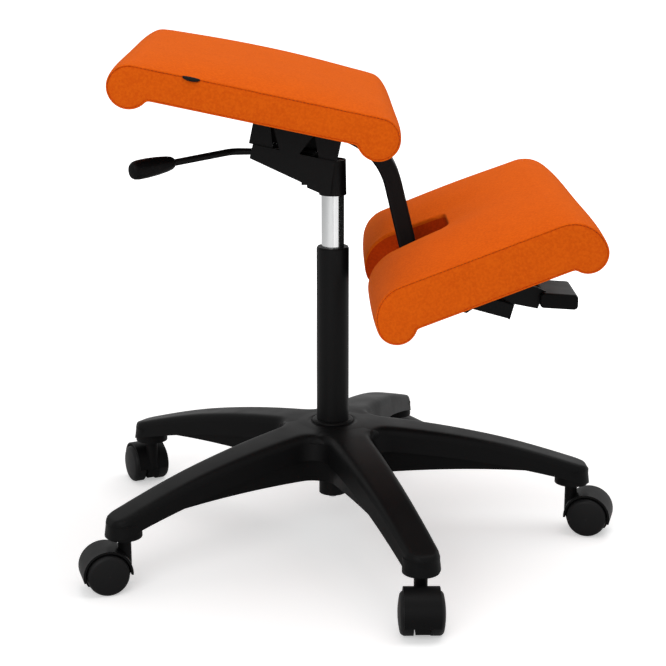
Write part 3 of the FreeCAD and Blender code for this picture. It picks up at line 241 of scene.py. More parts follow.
# Floor: its reach, how far from the chair shadows show, its lift to white there, and its darker tone
FLOOR_REACH = 14.0
FLOOR_SHADOW_REACH = 0.75
FLOOR_LIFT = 0.42
FLOOR_TONE = 0.995

# Lamps as name, place, side and power, the point they face, and the world's fill
LAMPS = (("top_light", (0.5, 0.2, 2.6), 2.4, 35.0), ("front_light", (-0.9, -2.6, 1.6), 1.8, 27.0))
LAMP_TARGET = (0.0, 0.0, 0.4)
WORLD_FILL = 0.42
WHITE = (1.0, 1.0, 1.0, 1.0)


class ChairSizeSettings(bpy.types.PropertyGroup):
    seat_width: bpy.props.FloatProperty(
        name="Seat Width", description="Width of the seat cushion over its side panels",
        default=0.450, min=0.2, unit="LENGTH", subtype="DISTANCE")
    pad_width: bpy.props.FloatProperty(
        name="Knee Pad Width", description="Width of the knee pad over its side panels",
        default=0.452, min=0.2, unit="LENGTH", subtype="DISTANCE")
    seat_dome: bpy.props.FloatProperty(
        name="Seat Dome", description="Rise of the middle of the seat's top over its seams",
        default=0.0130, min=0.0, unit="LENGTH", subtype="DISTANCE")
    pad_dome: bpy.props.FloatProperty(
        name="Knee Pad Dome", description="Rise of the middle of the knee pad's top over its seams",
        default=0.0130, min=0.0, unit="LENGTH", subtype="DISTANCE")
    end_bow: bpy.props.FloatProperty(
        name="End Bow", description="How far the front and rear of a cushion bow out in the middle",
        default=0.0035, min=0.0, unit="LENGTH", subtype="DISTANCE")
    edge_radius: bpy.props.FloatProperty(
        name="Edge Radius", description="Rounding of the cover where it meets a side panel",
        default=0.0016, min=0.0005, unit="LENGTH", subtype="DISTANCE")
    fill_pressure: bpy.props.FloatProperty(
        name="Fill Pressure", description="Pressure that fills the covers out in the cloth simulation",
        default=4.0, min=0.0)
    fill_limit: bpy.props.FloatProperty(
        name="Fill Limit", description="Farthest that the filling may push a point of a cover",
        default=0.0014, min=0.0, unit="LENGTH", subtype="DISTANCE")
    slot_dip: bpy.props.FloatProperty(
        name="Slot Dip", description="Depth of the hollow in the knee pad round its slot",
        default=0.0075, min=0.0, unit="LENGTH", subtype="DISTANCE")
    rod_thickening: bpy.props.FloatProperty(
        name="Rod Thickening", description="How much thicker the gas lever's rod is all round in the open",
        default=0.0007, min=0.0, unit="LENGTH", subtype="DISTANCE")
    arm_crown: bpy.props.FloatProperty(
        name="Arm Crown", description="Rise of the tops of the base's arms over their solids",
        default=0.0078, min=0.0, unit="LENGTH", subtype="DISTANCE")
    stitch_length: bpy.props.FloatProperty(
        name="Stitch Length", description="Length of one stitch along the side seams",
        default=0.0026, min=0.0005, unit="LENGTH", subtype="DISTANCE")
    stitch_spacing: bpy.props.FloatProperty(
        name="Stitch Spacing", description="Distance from one stitch to the next",
        default=0.0040, min=0.001, unit="LENGTH", subtype="DISTANCE")
    thread_radius: bpy.props.FloatProperty(
        name="Thread Radius", description="Half the thickness of the sewing thread",
        default=0.00028, min=0.0001, unit="LENGTH", subtype="DISTANCE")


class ChairColourSettings(bpy.types.PropertyGroup):
    cloth: bpy.props.FloatVectorProperty(
        name="Cloth", description="Main colour of the felted cover",
        default=(0.755, 0.121, 0.0048, 1.0), size=4, min=0.0, max=1.0, subtype="COLOR")
    cloth_fleck: bpy.props.FloatVectorProperty(
        name="Cloth Fleck", description="Darker colour of the flecks in the felted cover",
        default=(0.67, 0.091, 0.0035, 1.0), size=4, min=0.0, max=1.0, subtype="COLOR")
    # Slot Cloth and Slot Cloth Fleck are painted shade: the felt darkened on the slot's walls, where shade
    # falls inside the slot
    slot_painted_shade: bpy.props.FloatVectorProperty(
        name="Slot Cloth", description="Deeper colour of the cover on the walls of the slot",
        default=(0.60, 0.048, 0.0022, 1.0), size=4, min=0.0, max=1.0, subtype="COLOR")
    slot_painted_shade_fleck: bpy.props.FloatVectorProperty(
        name="Slot Cloth Fleck", description="Darker colour of the flecks on the walls of the slot",
        default=(0.50, 0.036, 0.0016, 1.0), size=4, min=0.0, max=1.0, subtype="COLOR")
    # Thread colour is partly the thread's own colour and partly painted shade: it is darkened so the stitches
    # draw the line of shade along the seams
    thread: bpy.props.FloatVectorProperty(
        name="Thread", description="Colour of the sewing thread",
        default=(0.20, 0.022, 0.003, 1.0), size=4, min=0.0, max=1.0, subtype="COLOR")
    nylon: bpy.props.FloatVectorProperty(
        name="Black Nylon", description="Colour of the moulded base and castors",
        default=(0.0042, 0.0042, 0.0044, 1.0), size=4, min=0.0, max=1.0, subtype="COLOR")
    steel_paint: bpy.props.FloatVectorProperty(
        name="Black Paint", description="Colour of the painted steel parts",
        default=(0.0042, 0.0042, 0.0044, 1.0), size=4, min=0.0, max=1.0, subtype="COLOR")
    board: bpy.props.FloatVectorProperty(
        name="Board", description="Colour of the stained boards under the cushions",
        default=(0.020, 0.017, 0.015, 1.0), size=4, min=0.0, max=1.0, subtype="COLOR")
    chrome: bpy.props.FloatVectorProperty(
        name="Chrome", description="Colour of the plated gas cylinder",
        default=(0.86, 0.87, 0.87, 1.0), size=4, min=0.0, max=1.0, subtype="COLOR")
    floor: bpy.props.FloatVectorProperty(
        name="Floor", description="Colour of the studio floor",
        default=(0.90, 0.90, 0.90, 1.0), size=4, min=0.0, max=1.0, subtype="COLOR")


def sizes():
    return bpy.context.scene.chair_sizes


def colours():
    return bpy.context.scene.chair_colours


# Materials

def new_material(name):
    """An empty material with its output, its Principled shader and object coordinates."""
    material = bpy.data.materials.new(name)
    material.use_nodes = True
    nodes = material.node_tree.nodes
    nodes.clear()
    output = nodes.new("ShaderNodeOutputMaterial")
    shader = nodes.new("ShaderNodeBsdfPrincipled")
    place = nodes.new("ShaderNodeTexCoord")
    link(material, shader.outputs["BSDF"], output.inputs["Surface"])
    return material, shader, place.outputs["Object"]


def link(material, start, end):
    material.node_tree.links.new(start, end)


def scaled(colour, share):
    """A colour made darker or lighter, with its alpha at 1."""
    return [min(1.0, share * c) for c in colour[:3]] + [1.0]


def noise_node(material, place, scale, detail=2.0, stretch=(1.0, 1.0, 1.0)):
    """Noise that reads the object's own coordinates, drawn out along an axis by the stretch."""
    nodes = material.node_tree.nodes
    mapping = nodes.new("ShaderNodeMapping")
    mapping.inputs["Scale"].default_value = stretch
    texture = nodes.new("ShaderNodeTexNoise")
    texture.inputs["Scale"].default_value = scale
    texture.inputs["Detail"].default_value = detail
    link(material, place, mapping.inputs["Vector"])
    link(material, mapping.outputs["Vector"], texture.inputs["Vector"])
    return texture.outputs["Fac"]


def spread(material, value, low, high, start=0.3, end=0.7):
    """A value between start and end, mapped to the range from low to high."""
    node = material.node_tree.nodes.new("ShaderNodeMapRange")
    node.inputs["From Min"].default_value = start
    node.inputs["From Max"].default_value = end
    node.inputs["To Min"].default_value = low
    node.inputs["To Max"].default_value = high
    link(material, value, node.inputs["Value"])
    return node.outputs["Result"]


def mixed(material, share, first, second):
    """Colour between two others, each a socket or four numbers."""
    node = material.node_tree.nodes.new("ShaderNodeMix")
    node.data_type = "RGBA"
    link(material, share, node.inputs["Factor"])
    sockets = [s for s in node.inputs if s.type == "RGBA"]
    for socket, colour in zip(sockets, (first, second)):
        if isinstance(colour, bpy.types.NodeSocket):
            link(material, colour, socket)
        else:
            socket.default_value = tuple(colour)
    return [s for s in node.outputs if s.type == "RGBA"][0]


def bump(material, shader, height, strength, distance):
    node = material.node_tree.nodes.new("ShaderNodeBump")
    node.inputs["Strength"].default_value = strength
    node.inputs["Distance"].default_value = distance
    link(material, height, node.inputs["Height"])
    link(material, node.outputs["Normal"], shader.inputs["Normal"])


def cloth_material(title, bright, fleck):
    """Felted wool: fine darker flecks over a slow change of shade, with a soft fuzz at the edges."""
    material, shader, place = new_material(title)
    flecks = noise_node(material, place, FELT_FLECKS, detail=3.0)
    patches = noise_node(material, place, FELT_PATCHES)
    share = spread(material, flecks, low=0.0, high=1.0, start=0.36, end=0.66)
    shade = mixed(material, share, fleck, bright)
    drift = spread(material, patches, low=0.0, high=0.18, start=0.35, end=0.70)
    link(material, mixed(material, drift, shade, scaled(bright, 1.10)), shader.inputs["Base Color"])
    for name, value in FELT_SURFACE.items():
        shader.inputs[name].default_value = value
    fuzz = noise_node(material, place, FELT_FUZZ, detail=3.0)
    bump(material, shader, fuzz, strength=0.35, distance=0.0006)
    return material


def plain_material(name, colour, roughness, grain, depth, metallic=0.0, stretch=(1.0, 1.0, 1.0), shine=0.5):
    """Moulded, painted or plated surface: fine grain, and gloss and shade that vary a little."""
    material, shader, place = new_material(name)
    patches = noise_node(material, place, PATCH_SCALE, 3.0, stretch)
    link(material, mixed(material, patches, scaled(colour, PATCH_SHADE), colour), shader.inputs["Base Color"])
    gloss = spread(material, patches, *(roughness * share for share in GLOSS_RANGE))
    link(material, gloss, shader.inputs["Roughness"])
    shader.inputs["Metallic"].default_value = metallic
    shader.inputs["Specular IOR Level"].default_value = shine
    bump(material, shader, noise_node(material, place, grain, 2.0, stretch), strength=0.25, distance=depth)
    return material


def slot_materials():
    """One finish for each of the record's material slots: colour, roughness, grain scale and grain depth."""
    settings = colours()
    grey = (0.42, 0.42, 0.43, 1.0)
    liner = (0.10, 0.10, 0.10, 1.0)
    rubber = (0.010, 0.010, 0.010, 1.0)
    wheel = scaled(settings.nylon, 1.5)
    along = (1.0, 0.12, 1.0)
    # A copy of the felt darkened with painted shade, for the walls of the slot
    cloth_material("felt_deep", settings.slot_painted_shade, settings.slot_painted_shade_fleck)
    return {
        "orange_cloth": cloth_material("felt_orange", settings.cloth, settings.cloth_fleck),
        "black_tape": plain_material("tape_black", rubber, 0.85, 1500.0, 0.0003, shine=0.1),
        "black_board": plain_material("board_black", settings.board, 0.6, 240.0, 0.0003, 0.0, along, 0.2),
        "black_steel": plain_material("paint_black", settings.steel_paint, 0.45, 700.0, 0.00012, shine=0.11),
        "bright_steel": plain_material("steel_bright", grey, 0.32, 420.0, 0.00004, 1.0),
        "chrome": plain_material("chrome", settings.chrome, 0.16, 300.0, 0.00001, 1.0),
        "black_nylon": plain_material("nylon_black", settings.nylon, 0.45, 900.0, 0.00012, shine=0.07),
        "wheel_nylon": plain_material("nylon_wheel", wheel, 0.48, 800.0, 0.00010, shine=0.13),
        "liner_plastic": plain_material("plastic_liner", liner, 0.5, 600.0, 0.00010),
        "rubber": plain_material("rubber_black", rubber, 0.75, 500.0, 0.00020, shine=0.2),
    }


# Pieces

class Builder:
    """Collects rows of points as faces, then merges them into one mesh."""

    def __init__(self):
        self.points = []
        self.faces = []
        self.shades = []

    def row(self, points):
        start = len(self.points)
        self.points += points
        return list(range(start, len(self.points)))

    def bridge(self, first, second, closed, shade=0):
        """Joins two rows point by point; the shade is the number of the material on the new faces."""
        count = len(first)
        for k in range(count if closed else count - 1):
            after = (k + 1) % count
            corners = tuple(dict.fromkeys((first[k], first[after], second[after], second[k])))
            self.faces.append(corners)
            self.shades.append(shade)

    def skin(self, rows, closed, shade=0):
        """Joins each row to the next."""
        for first, second in zip(rows, rows[1:]):
            self.bridge(first, second, closed, shade)

    def cap(self, ring):
        self.faces.append(tuple(ring))
        self.shades.append(0)

    def tube(self, rings):
        """Joins rings and closes both ends."""
        self.skin(rings, True)
        self.cap(rings[0])
        self.cap(rings[-1])

    def turned(self, profile, segments):
        """A ring round the column's axis, from its section as radii and heights."""
        angles = np.linspace(0.0, 2 * math.pi, segments, endpoint=False)
        rings = [self.row([(radius * math.cos(a), radius * math.sin(a), height) for a in angles])
                 for radius, height in profile]
        self.skin(rings + rings[:1], True)

    def ladder(self, ring):
        """Closes a ring by joining each point of its top to the point under it."""
        half = len(ring) // 2
        under = [ring[-k % len(ring)] for k in range(half + 1)]
        self.bridge(ring[:half + 1], under, False)

    def side_panels(self, chains, half, radius):
        for side in (-1, 1):
            rows = [self.row([(s, side * y, n) for s, n in loop_of(chains, inset)])
                    for y, inset in panel_rows(half, radius)]
            self.skin(rows, True)
            self.ladder(rows[-1])

    def mesh(self, name):
        mesh = bpy.data.meshes.new(name)
        mesh.from_pydata(self.points, [], self.faces)
        mesh.polygons.foreach_set("material_index", self.shades)
        shell = bmesh.new()
        shell.from_mesh(mesh)
        bmesh.ops.remove_doubles(shell, verts=shell.verts, dist=MERGE_DISTANCE)
        bmesh.ops.dissolve_degenerate(shell, edges=shell.edges, dist=SLIVER_LENGTH)
        bmesh.ops.recalc_face_normals(shell, faces=shell.faces)
        open_edges = [e for e in shell.edges if not e.is_manifold]
        if open_edges:
            raise RuntimeError(f"{name} has {len(open_edges)} edges that are not closed")
        shell.to_mesh(mesh)
        shell.free()
        mesh.polygons.foreach_set("use_smooth", [True] * len(mesh.polygons))
        return mesh


def coordinates(mesh):
    values = np.zeros(len(mesh.vertices) * 3, np.float32)
    mesh.vertices.foreach_get("co", values)
    return values.reshape(-1, 3).astype(float)


def set_coordinates(mesh, values):
    mesh.vertices.foreach_set("co", values.astype(np.float32).ravel())
    mesh.update()


def evaluated(piece):
    return piece.evaluated_get(bpy.context.evaluated_depsgraph_get())


def new_object(name, mesh):
    piece = bpy.data.objects.new(name, mesh)
    bpy.context.scene.collection.objects.link(piece)
    return piece


def settle(piece, body, node=None):
    """Sets a piece on its body, in the place of a CAD node where one is named."""
    if node:
        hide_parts(node)
    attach(piece, body)


def add_piece(name, mesh, material, body, node=None):
    piece = new_object(name, mesh)
    piece.data.materials.append(bpy.data.materials[material])
    settle(piece, body, node)


def slope(origin, tilt):
    """Turn and move from along, across and above a sloping cushion into the chair's frame."""
    return Matrix.Translation(origin) @ Matrix.Rotation(tilt, 4, "Y")


def eased(share):
    """Smooth step from 0 to 1."""
    share = min(1.0, max(0.0, share))
    return share * share * (3.0 - 2.0 * share)


# Profiles of the cushions

def arc_points(centre, radius, start, end, steps):
    """Points after the first on an arc, from one angle in degrees to another."""
    angles = np.radians(np.linspace(start, end, steps + 1)[1:])
    return [(centre[0] + radius * math.cos(a), centre[1] + radius * math.sin(a)) for a in angles]


def between(start, end, shares):
    return [(start[0] + (end[0] - start[0]) * t, start[1] + (end[1] - start[1]) * t) for t in shares]


def even(steps):
    return [k / steps for k in range(1, steps + 1)]


def seat_chains(inset):
    """Top and bottom half of the seat's side profile, each from its rear end to its front end."""
    radius = SEAT_ROLL_RADIUS - inset
    middle = SEAT_THICKNESS - SEAT_ROLL_RADIUS
    low = inset + BOTTOM_LIFT
    sink = math.degrees(math.asin((middle - low) / radius))
    rear = (SEAT_ROLL_REAR, middle)
    front = (SEAT_ROLL_FRONT, middle)
    start = (SEAT_ROLL_REAR - radius, middle)
    top = [start] + arc_points(rear, radius, 180.0, 90.0, SEAT_TOP_ROLL_STEPS)
    top += between(top[-1], (SEAT_ROLL_FRONT, middle + radius), even(SEAT_TOP_STEPS))
    top += arc_points(front, radius, 90.0, 0.0, SEAT_TOP_ROLL_STEPS)
    bottom = [start] + arc_points(rear, radius, 180.0, 360.0 - sink, SEAT_BOTTOM_ROLL_STEPS)
    notch = SEAT_ROLL_FRONT - radius * math.cos(math.radians(sink))
    bottom += between(bottom[-1], (notch, low), even(SEAT_BOTTOM_STEPS))
    bottom += arc_points(front, radius, 180.0 + sink, 360.0, SEAT_BOTTOM_ROLL_STEPS)
    return top, bottom


def slot_join():
    """Where the middle of the knee pad meets its two sides: half-way round a front corner of the slot."""
    back = SLOT_CORNER * (1.0 - math.sqrt(0.5))
    return SLOT_FRONT - back, SLOT_HALF_FRONT - back


def slot_half(along):
    spread_rate = (SLOT_HALF_REAR - SLOT_HALF_FRONT) / (SLOT_FRONT - PAD_REAR)
    return SLOT_HALF_FRONT + spread_rate * (SLOT_FRONT - along)


def slot_edge(along):
    """Half width of the slot at a place along it, with its rounded front corner."""
    join, half = slot_join()
    if along >= join:
        return half
    into = along - (SLOT_FRONT - SLOT_CORNER)
    if into <= 0.0:
        return slot_half(along)
    return SLOT_HALF_FRONT - SLOT_CORNER + math.sqrt(SLOT_CORNER ** 2 - into ** 2)


def slot_end(across):
    """Place along the pad of the slot's front end, with its rounded corners."""
    into = abs(across) - (SLOT_HALF_FRONT - SLOT_CORNER)
    if into <= 0.0:
        return SLOT_FRONT
    return SLOT_FRONT - SLOT_CORNER + math.sqrt(max(0.0, SLOT_CORNER ** 2 - into ** 2))


def slot_distance(along, across):
    """Distance from the slot's outline, seen from above."""
    ahead = along - SLOT_FRONT + SLOT_CORNER
    beside = abs(across) - slot_half(along) + SLOT_CORNER
    if ahead > 0.0 and beside > 0.0:
        return math.hypot(ahead, beside) - SLOT_CORNER
    return max(ahead, beside) - SLOT_CORNER


def slot_last(top):
    """Number of the profile point where the slot's side ends."""
    join = slot_join()[0]
    return min(range(len(top)), key=lambda k: abs(top[k][0] - join))


def pad_chains(inset):
    """Top and bottom half of the knee pad's side profile, both with a point where the slot's side ends."""
    join = slot_join()[0]
    roll = PAD_ROLL_RADIUS - inset
    corner = PAD_THICKNESS - inset - PAD_ROLL_HEIGHT
    low = inset + BOTTOM_LIFT
    sink = math.degrees(math.asin((PAD_ROLL_HEIGHT - low) / roll))
    rear = (PAD_REAR + PAD_ROLL_RADIUS, PAD_ROLL_HEIGHT)
    front = (PAD_FRONT - PAD_ROLL_RADIUS, PAD_ROLL_HEIGHT)
    left = rear[0] - roll
    right = front[0] + roll
    height = PAD_ROLL_HEIGHT + corner
    near_wall = [t / (right - corner - join) for t in SLOT_WALL_STEPS[1:]]
    ahead = near_wall + list(np.linspace(near_wall[-1], 1.0, PAD_AHEAD_STEPS)[1:])
    start = (left, PAD_ROLL_HEIGHT)
    top = [start] + arc_points((left + corner, PAD_ROLL_HEIGHT), corner, 180.0, 90.0, PAD_STEPS)
    top += between(top[-1], (join, height), even(PAD_STEPS))
    top += between(top[-1], (right - corner, height), ahead)
    top += arc_points((right - corner, PAD_ROLL_HEIGHT), corner, 90.0, 0.0, PAD_STEPS)
    notch = front[0] - roll * math.cos(math.radians(sink))
    bottom = [start] + arc_points(rear, roll, 180.0, 360.0 - sink, PAD_STEPS)
    bottom += between(bottom[-1], (join, low), even(PAD_STEPS))
    bottom += between(bottom[-1], (notch, low), ahead)
    bottom += arc_points(front, roll, 180.0 + sink, 360.0, PAD_STEPS)
    return top, bottom


def loop_of(chains, inset):
    """Closed ring of profile points: along the top to the front and back along the bottom."""
    top, bottom = chains(inset)
    return top + bottom[-2:0:-1]


def profile_outline(chains):
    """Close points on a cushion's full side profile."""
    ring = np.array(loop_of(chains, 0.0))
    following = np.roll(ring, -1, axis=0)
    return np.vstack([ring + (following - ring) * t for t in (0.0, 0.25, 0.5, 0.75)])


def edge_rows(half, radius):
    """Distance across and inset of the cover's last rows, from its flat part to the side panel's tuck."""
    rows = []
    for step in reversed(ROUND_STEPS):
        depth = step * radius
        rows.append((half - depth, radius - math.sqrt(radius ** 2 - (radius - depth) ** 2)))
    rows.append((half - TUCK_DEPTH, radius + TUCK_INSET))
    return rows


def panel_rows(half, radius):
    """Distance across and inset of a side panel's rows, from the tuck to its flat middle."""
    first = radius + TUCK_INSET
    return [(half + out, first + inwards) for out, inwards in PANEL_STEPS]


# Covers of the cushions

def seat_shell():
    """Seat cover from side to side, with its two side panels."""
    half = sizes().seat_width / 2
    radius = sizes().edge_radius
    build = Builder()
    edge = edge_rows(half, radius)
    flat = list(np.linspace(radius - half, half - radius, SEAT_ROWS))[1:-1]
    stations = [(-y, inset) for y, inset in reversed(edge)] + [(y, 0.0) for y in flat] + edge
    rows = [build.row([(s, y, n) for s, n in loop_of(seat_chains, inset)]) for y, inset in stations]
    build.skin(rows, True)
    build.side_panels(seat_chains, half, radius)
    return build.mesh("seat_cover")


def pad_point(s, y, n):
    """Point of the knee pad's top or underside, rounded down into the slot where it is near its edge."""
    gap = slot_distance(s, y)
    if n > PAD_ROLL_HEIGHT and gap < SLOT_EDGE_RADIUS:
        short = SLOT_EDGE_RADIUS - max(0.0, gap)
        n -= SLOT_EDGE_RADIUS - math.sqrt(SLOT_EDGE_RADIUS ** 2 - short ** 2)
    return (s, y, n)


def pad_sides(build, half, radius):
    """The two sides of the knee pad, from the slot and its front corners out to the side panels."""
    reach = half - radius
    profile = loop_of(pad_chains, 0.0)
    shares = [t / (reach - SLOT_HALF_FRONT) for t in SLOT_WALL_STEPS]
    shares += list(np.linspace(shares[-1], 1.0, PAD_SIDE_ROWS)[1:-1])
    for side in (-1, 1):
        rows = []
        for share in shares:
            ring = []
            for s, n in profile:
                inner = slot_edge(s)
                ring.append(pad_point(s, side * (inner + (reach - inner) * share), n))
            rows.append(build.row(ring))
        for y, inset in edge_rows(half, radius):
            rows.append(build.row([(s, side * y, n) for s, n in loop_of(pad_chains, inset)]))
        build.skin(rows, True)


def wall_row(build, top, bottom):
    shares = np.linspace(0.0, 1.0, SLOT_WALL_ROWS + 1)
    return build.row([tuple(np.array(top) * (1 - t) + np.array(bottom) * t) for t in shares])


def pad_middle(build):
    """The front of the knee pad between its two sides, with the end wall of the slot."""
    join, join_half = slot_join()
    fade = SLOT_WALL_STEPS[-1]
    top, bottom = pad_chains(0.0)
    first = slot_last(top)
    chain = top[first:] + bottom[-2:first - 1:-1]
    rows = []
    for y in np.linspace(-join_half, join_half, PAD_MIDDLE_ROWS):
        shift = slot_end(y) - join
        row = []
        for s, n in chain:
            moved = s + shift * (1.0 - (s - join) / fade) if s - join < fade else s
            row.append(pad_point(moved, y, n))
        rows.append(build.row(row))
    build.skin(rows, False)
    walls = [wall_row(build, build.points[row[0]], build.points[row[-1]]) for row in rows]
    # The slot's end wall takes material 1, the felt darkened with painted shade
    build.skin(walls, False, 1)


def pad_slot_sides(build):
    """The two side walls of the slot."""
    top, bottom = pad_chains(0.0)
    for side in (-1, 1):
        walls = []
        for k in range(slot_last(top) + 1):
            high = pad_point(top[k][0], side * slot_edge(top[k][0]), top[k][1])
            low = pad_point(bottom[k][0], side * slot_edge(bottom[k][0]), bottom[k][1])
            walls.append(wall_row(build, high, low))
        # The slot's side walls take material 1, the felt darkened with painted shade
        build.skin(walls, False, 1)


def pad_shell():
    """Knee pad cover: two sides, the front between them, the slot's walls and the side panels."""
    half = sizes().pad_width / 2
    radius = sizes().edge_radius
    build = Builder()
    pad_sides(build, half, radius)
    pad_middle(build)
    pad_slot_sides(build)
    build.side_panels(pad_chains, half, radius)
    return build.mesh("pad_cover")


def edge_depth(points, half, outline):
    """How far each point near a side lies inside the cushion's full profile; large elsewhere."""
    depth = np.full(len(points), 1.0)
    near = np.abs(np.abs(points[:, 1]) - half) < SEAM_ZONE
    for index in np.nonzero(near)[0]:
        gap = outline - points[index, [0, 2]]
        depth[index] = math.sqrt(float((gap ** 2).sum(axis=1).min()))
    return depth


def held_weights(points, half, radius, outline):
    """Full hold on the underside, in the tucks and at the seams; none on the top, rolls and panels."""
    weights = np.zeros(len(points))
    weights[points[:, 2] < UNDERSIDE] = 1.0
    near_seam = np.abs(np.abs(points[:, 1]) - half) < TUCK_DEPTH + HOLD_BAND
    weights[near_seam & (edge_depth(points, half, outline) < radius + HOLD_DEPTH)] = 1.0
    return weights


def fill_out(piece, held):
    """Blows the cover up a little as cloth that is held at its seams and underside, and keeps the shape."""
    group = piece.vertex_groups.new(name="held")
    for index, weight in enumerate(held):
        group.add([index], float(weight), "REPLACE")
    modifier = piece.modifiers.new("fill", "CLOTH")
    for name, value in FILL_CLOTH.items():
        setattr(modifier.settings, name, value)
    modifier.settings.uniform_pressure_force = sizes().fill_pressure
    modifier.settings.vertex_group_mass = group.name
    modifier.settings.effector_weights.gravity = 0.0
    modifier.collision_settings.use_collision = False
    modifier.point_cache.frame_start = 1
    modifier.point_cache.frame_end = FILL_FRAMES
    scene = bpy.context.scene
    for number in range(1, FILL_FRAMES + 1):
        scene.frame_set(number)
    before = coordinates(piece.data)
    filled = evaluated(piece)
    after = coordinates(filled.to_mesh())
    filled.to_mesh_clear()
    piece.modifiers.remove(modifier)
    scene.frame_set(1)
    piece.vertex_groups.clear()
    move = after - before
    length = np.linalg.norm(move, axis=1, keepdims=True) + 1e-9
    limit = sizes().fill_limit
    set_coordinates(piece.data, before + move / length * limit * np.tanh(length / limit))


def domed(points, half, chains, rise):
    """Raises the top into a dome that dies out at the seams and the ends, and bows the two ends outwards."""
    ring = np.array(loop_of(chains, 0.0))
    rear, front = ring[:, 0].min(), ring[:, 0].max()
    roll = ring[:, 1][ring[:, 0].argmax()]
    along = np.clip((2 * points[:, 0] - rear - front) / (front - rear), -1.0, 1.0)
    across = np.clip(1.0 - np.abs(points[:, 1] / half) ** DOME_POWER, 0.0, 1.0)
    upper = np.clip((points[:, 2] - roll) / (ring[:, 1].max() - roll), 0.0, 1.0)
    end = np.clip((np.abs(along) - DOME_END) / (1.0 - DOME_END), 0.0, 1.0)
    moved = points.copy()
    moved[:, 0] += np.sign(along) * sizes().end_bow * across * end
    moved[:, 2] += rise * across * upper * (1.0 - along ** 2)
    return moved


def puckered(points, half, seed):
    """Slow unevenness of the stuffing, and faint puckers along the side seams that fade out inwards."""
    moved = points.copy()
    shift = Vector((seed, STUFFING_SKEW * seed, 0.0))
    for index, point in enumerate(points):
        if point[2] <= UNDERSIDE:
            continue
        place = Vector(point)
        moved[index, 2] += noise.noise(place * STUFFING_SCALE + shift) * STUFFING_DEPTH
        gap = half - abs(point[1])
        if 0.0 < gap < PUCKER_REACH:
            wave = noise.noise(Vector((place.x * PUCKER_SCALE, seed, place.z * PUCKER_SCALE)))
            moved[index, 2] += wave * PUCKER_DEPTH * math.exp(-gap / PUCKER_FADE)
    return moved


def slot_hollow(points):
    """Sinks the knee pad's top round the slot, where the cover is pulled down to the walls."""
    moved = points.copy()
    dip = sizes().slot_dip
    for index, (s, y, n) in enumerate(points):
        upper = min(1.0, max(0.0, (n - PAD_ROLL_HEIGHT) / (PAD_THICKNESS - PAD_ROLL_HEIGHT)))
        gap = max(0.0, slot_distance(s, y))
        behind = min(1.0, max(0.0, SLOT_FRONT - s) / (SLOT_FRONT - PAD_REAR))
        moved[index, 2] -= dip * upper * math.exp(-(gap / SLOT_DIP_REACH) ** 2) * (1.0 - behind ** 2)
    return moved


def add_subdivision(piece):
    """One subdivision, kept in the mesh."""
    modifier = piece.modifiers.new("smooth", "SUBSURF")
    modifier.levels = 1
    modifier.render_levels = 1
    finer = bpy.data.meshes.new_from_object(evaluated(piece))
    finer.name = piece.data.name
    piece.modifiers.remove(modifier)
    piece.data = finer


def make_cushion(name, mesh, chains, width, dome, seed, reshape=None):
    """A cover that is held, filled, domed, puckered and subdivided."""
    piece = new_object(name, mesh)
    half = width / 2
    fill_out(piece, held_weights(coordinates(mesh), half, sizes().edge_radius, profile_outline(chains)))
    points = puckered(domed(coordinates(mesh), half, chains, dome), half, seed)
    if reshape:
        points = reshape(points)
    set_coordinates(mesh, points)
    add_subdivision(piece)
    # The second material is the felt darkened with painted shade, on the slot's walls
    for material in ("felt_orange", "felt_deep"):
        piece.data.materials.append(bpy.data.materials[material])
    return piece


def set_on_slope(piece, origin, tilt):
    piece.data.transform(slope(origin, tilt))
    piece.data.update()


# Seams and tag

def stitch_tree(material):
    """Nodes that set short rounded stitches, nose to tail, along every edge of a seam line."""
    tree = bpy.data.node_groups.new("seam_stitches", "GeometryNodeTree")
    face = tree.interface
    face.new_socket("Geometry", in_out="INPUT", socket_type="NodeSocketGeometry")
    inputs = []
    for name in ("Stitch Spacing", "Stitch Length", "Thread Radius"):
        socket = face.new_socket(name, in_out="INPUT", socket_type="NodeSocketFloat")
        inputs.append(socket.identifier)
    face.new_socket("Geometry", in_out="OUTPUT", socket_type="NodeSocketGeometry")
    nodes = {name: tree.nodes.new(kind) for name, kind in STITCH_NODES.items()}
    nodes["resample"].mode = "LENGTH"
    nodes["align"].axis = "Z"
    nodes["stitch"].inputs["Segments"].default_value = STITCH_SIDES
    nodes["stitch"].inputs["Rings"].default_value = STITCH_RINGS
    nodes["stitch"].inputs["Radius"].default_value = 1.0
    nodes["half"].operation = "MULTIPLY"
    nodes["half"].inputs[1].default_value = 0.5
    nodes["paint"].inputs["Material"].default_value = material
    for start, output, end, socket in STITCH_LINKS:
        tree.links.new(nodes[start].outputs[output], nodes[end].inputs[socket])
    return tree, inputs


def seam_lines(name, chains, width, origin, tilt):
    """The two side seams of a cushion along its top and ends, just above the bottom of the tuck."""
    inset = sizes().edge_radius + TUCK_INSET
    turn = slope(origin, tilt)
    points = []
    edges = []
    for side in (-1, 1):
        line = [Vector((s, side * (width / 2 - SEAM_DEPTH), n)) for s, n in chains(inset)[0]]
        edges += [(len(points) + k, len(points) + k + 1) for k in range(len(line) - 1)]
        points += [turn @ p for p in line]
    mesh = bpy.data.meshes.new(name)
    mesh.from_pydata(points, edges, [])
    return new_object(name, mesh)


def stitched(line, material, body):
    """Sews a seam line and keeps the stitches as a plain mesh."""
    settings = sizes()
    tree, inputs = stitch_tree(material)
    modifier = line.modifiers.new("stitches", "NODES")
    modifier.node_group = tree
    values = (settings.stitch_spacing, settings.stitch_length, settings.thread_radius)
    for identifier, value in zip(inputs, values):
        modifier[identifier] = value
    mesh = bpy.data.meshes.new_from_object(evaluated(line))
    line.modifiers.remove(modifier)
    line.data = mesh
    settle(line, body)


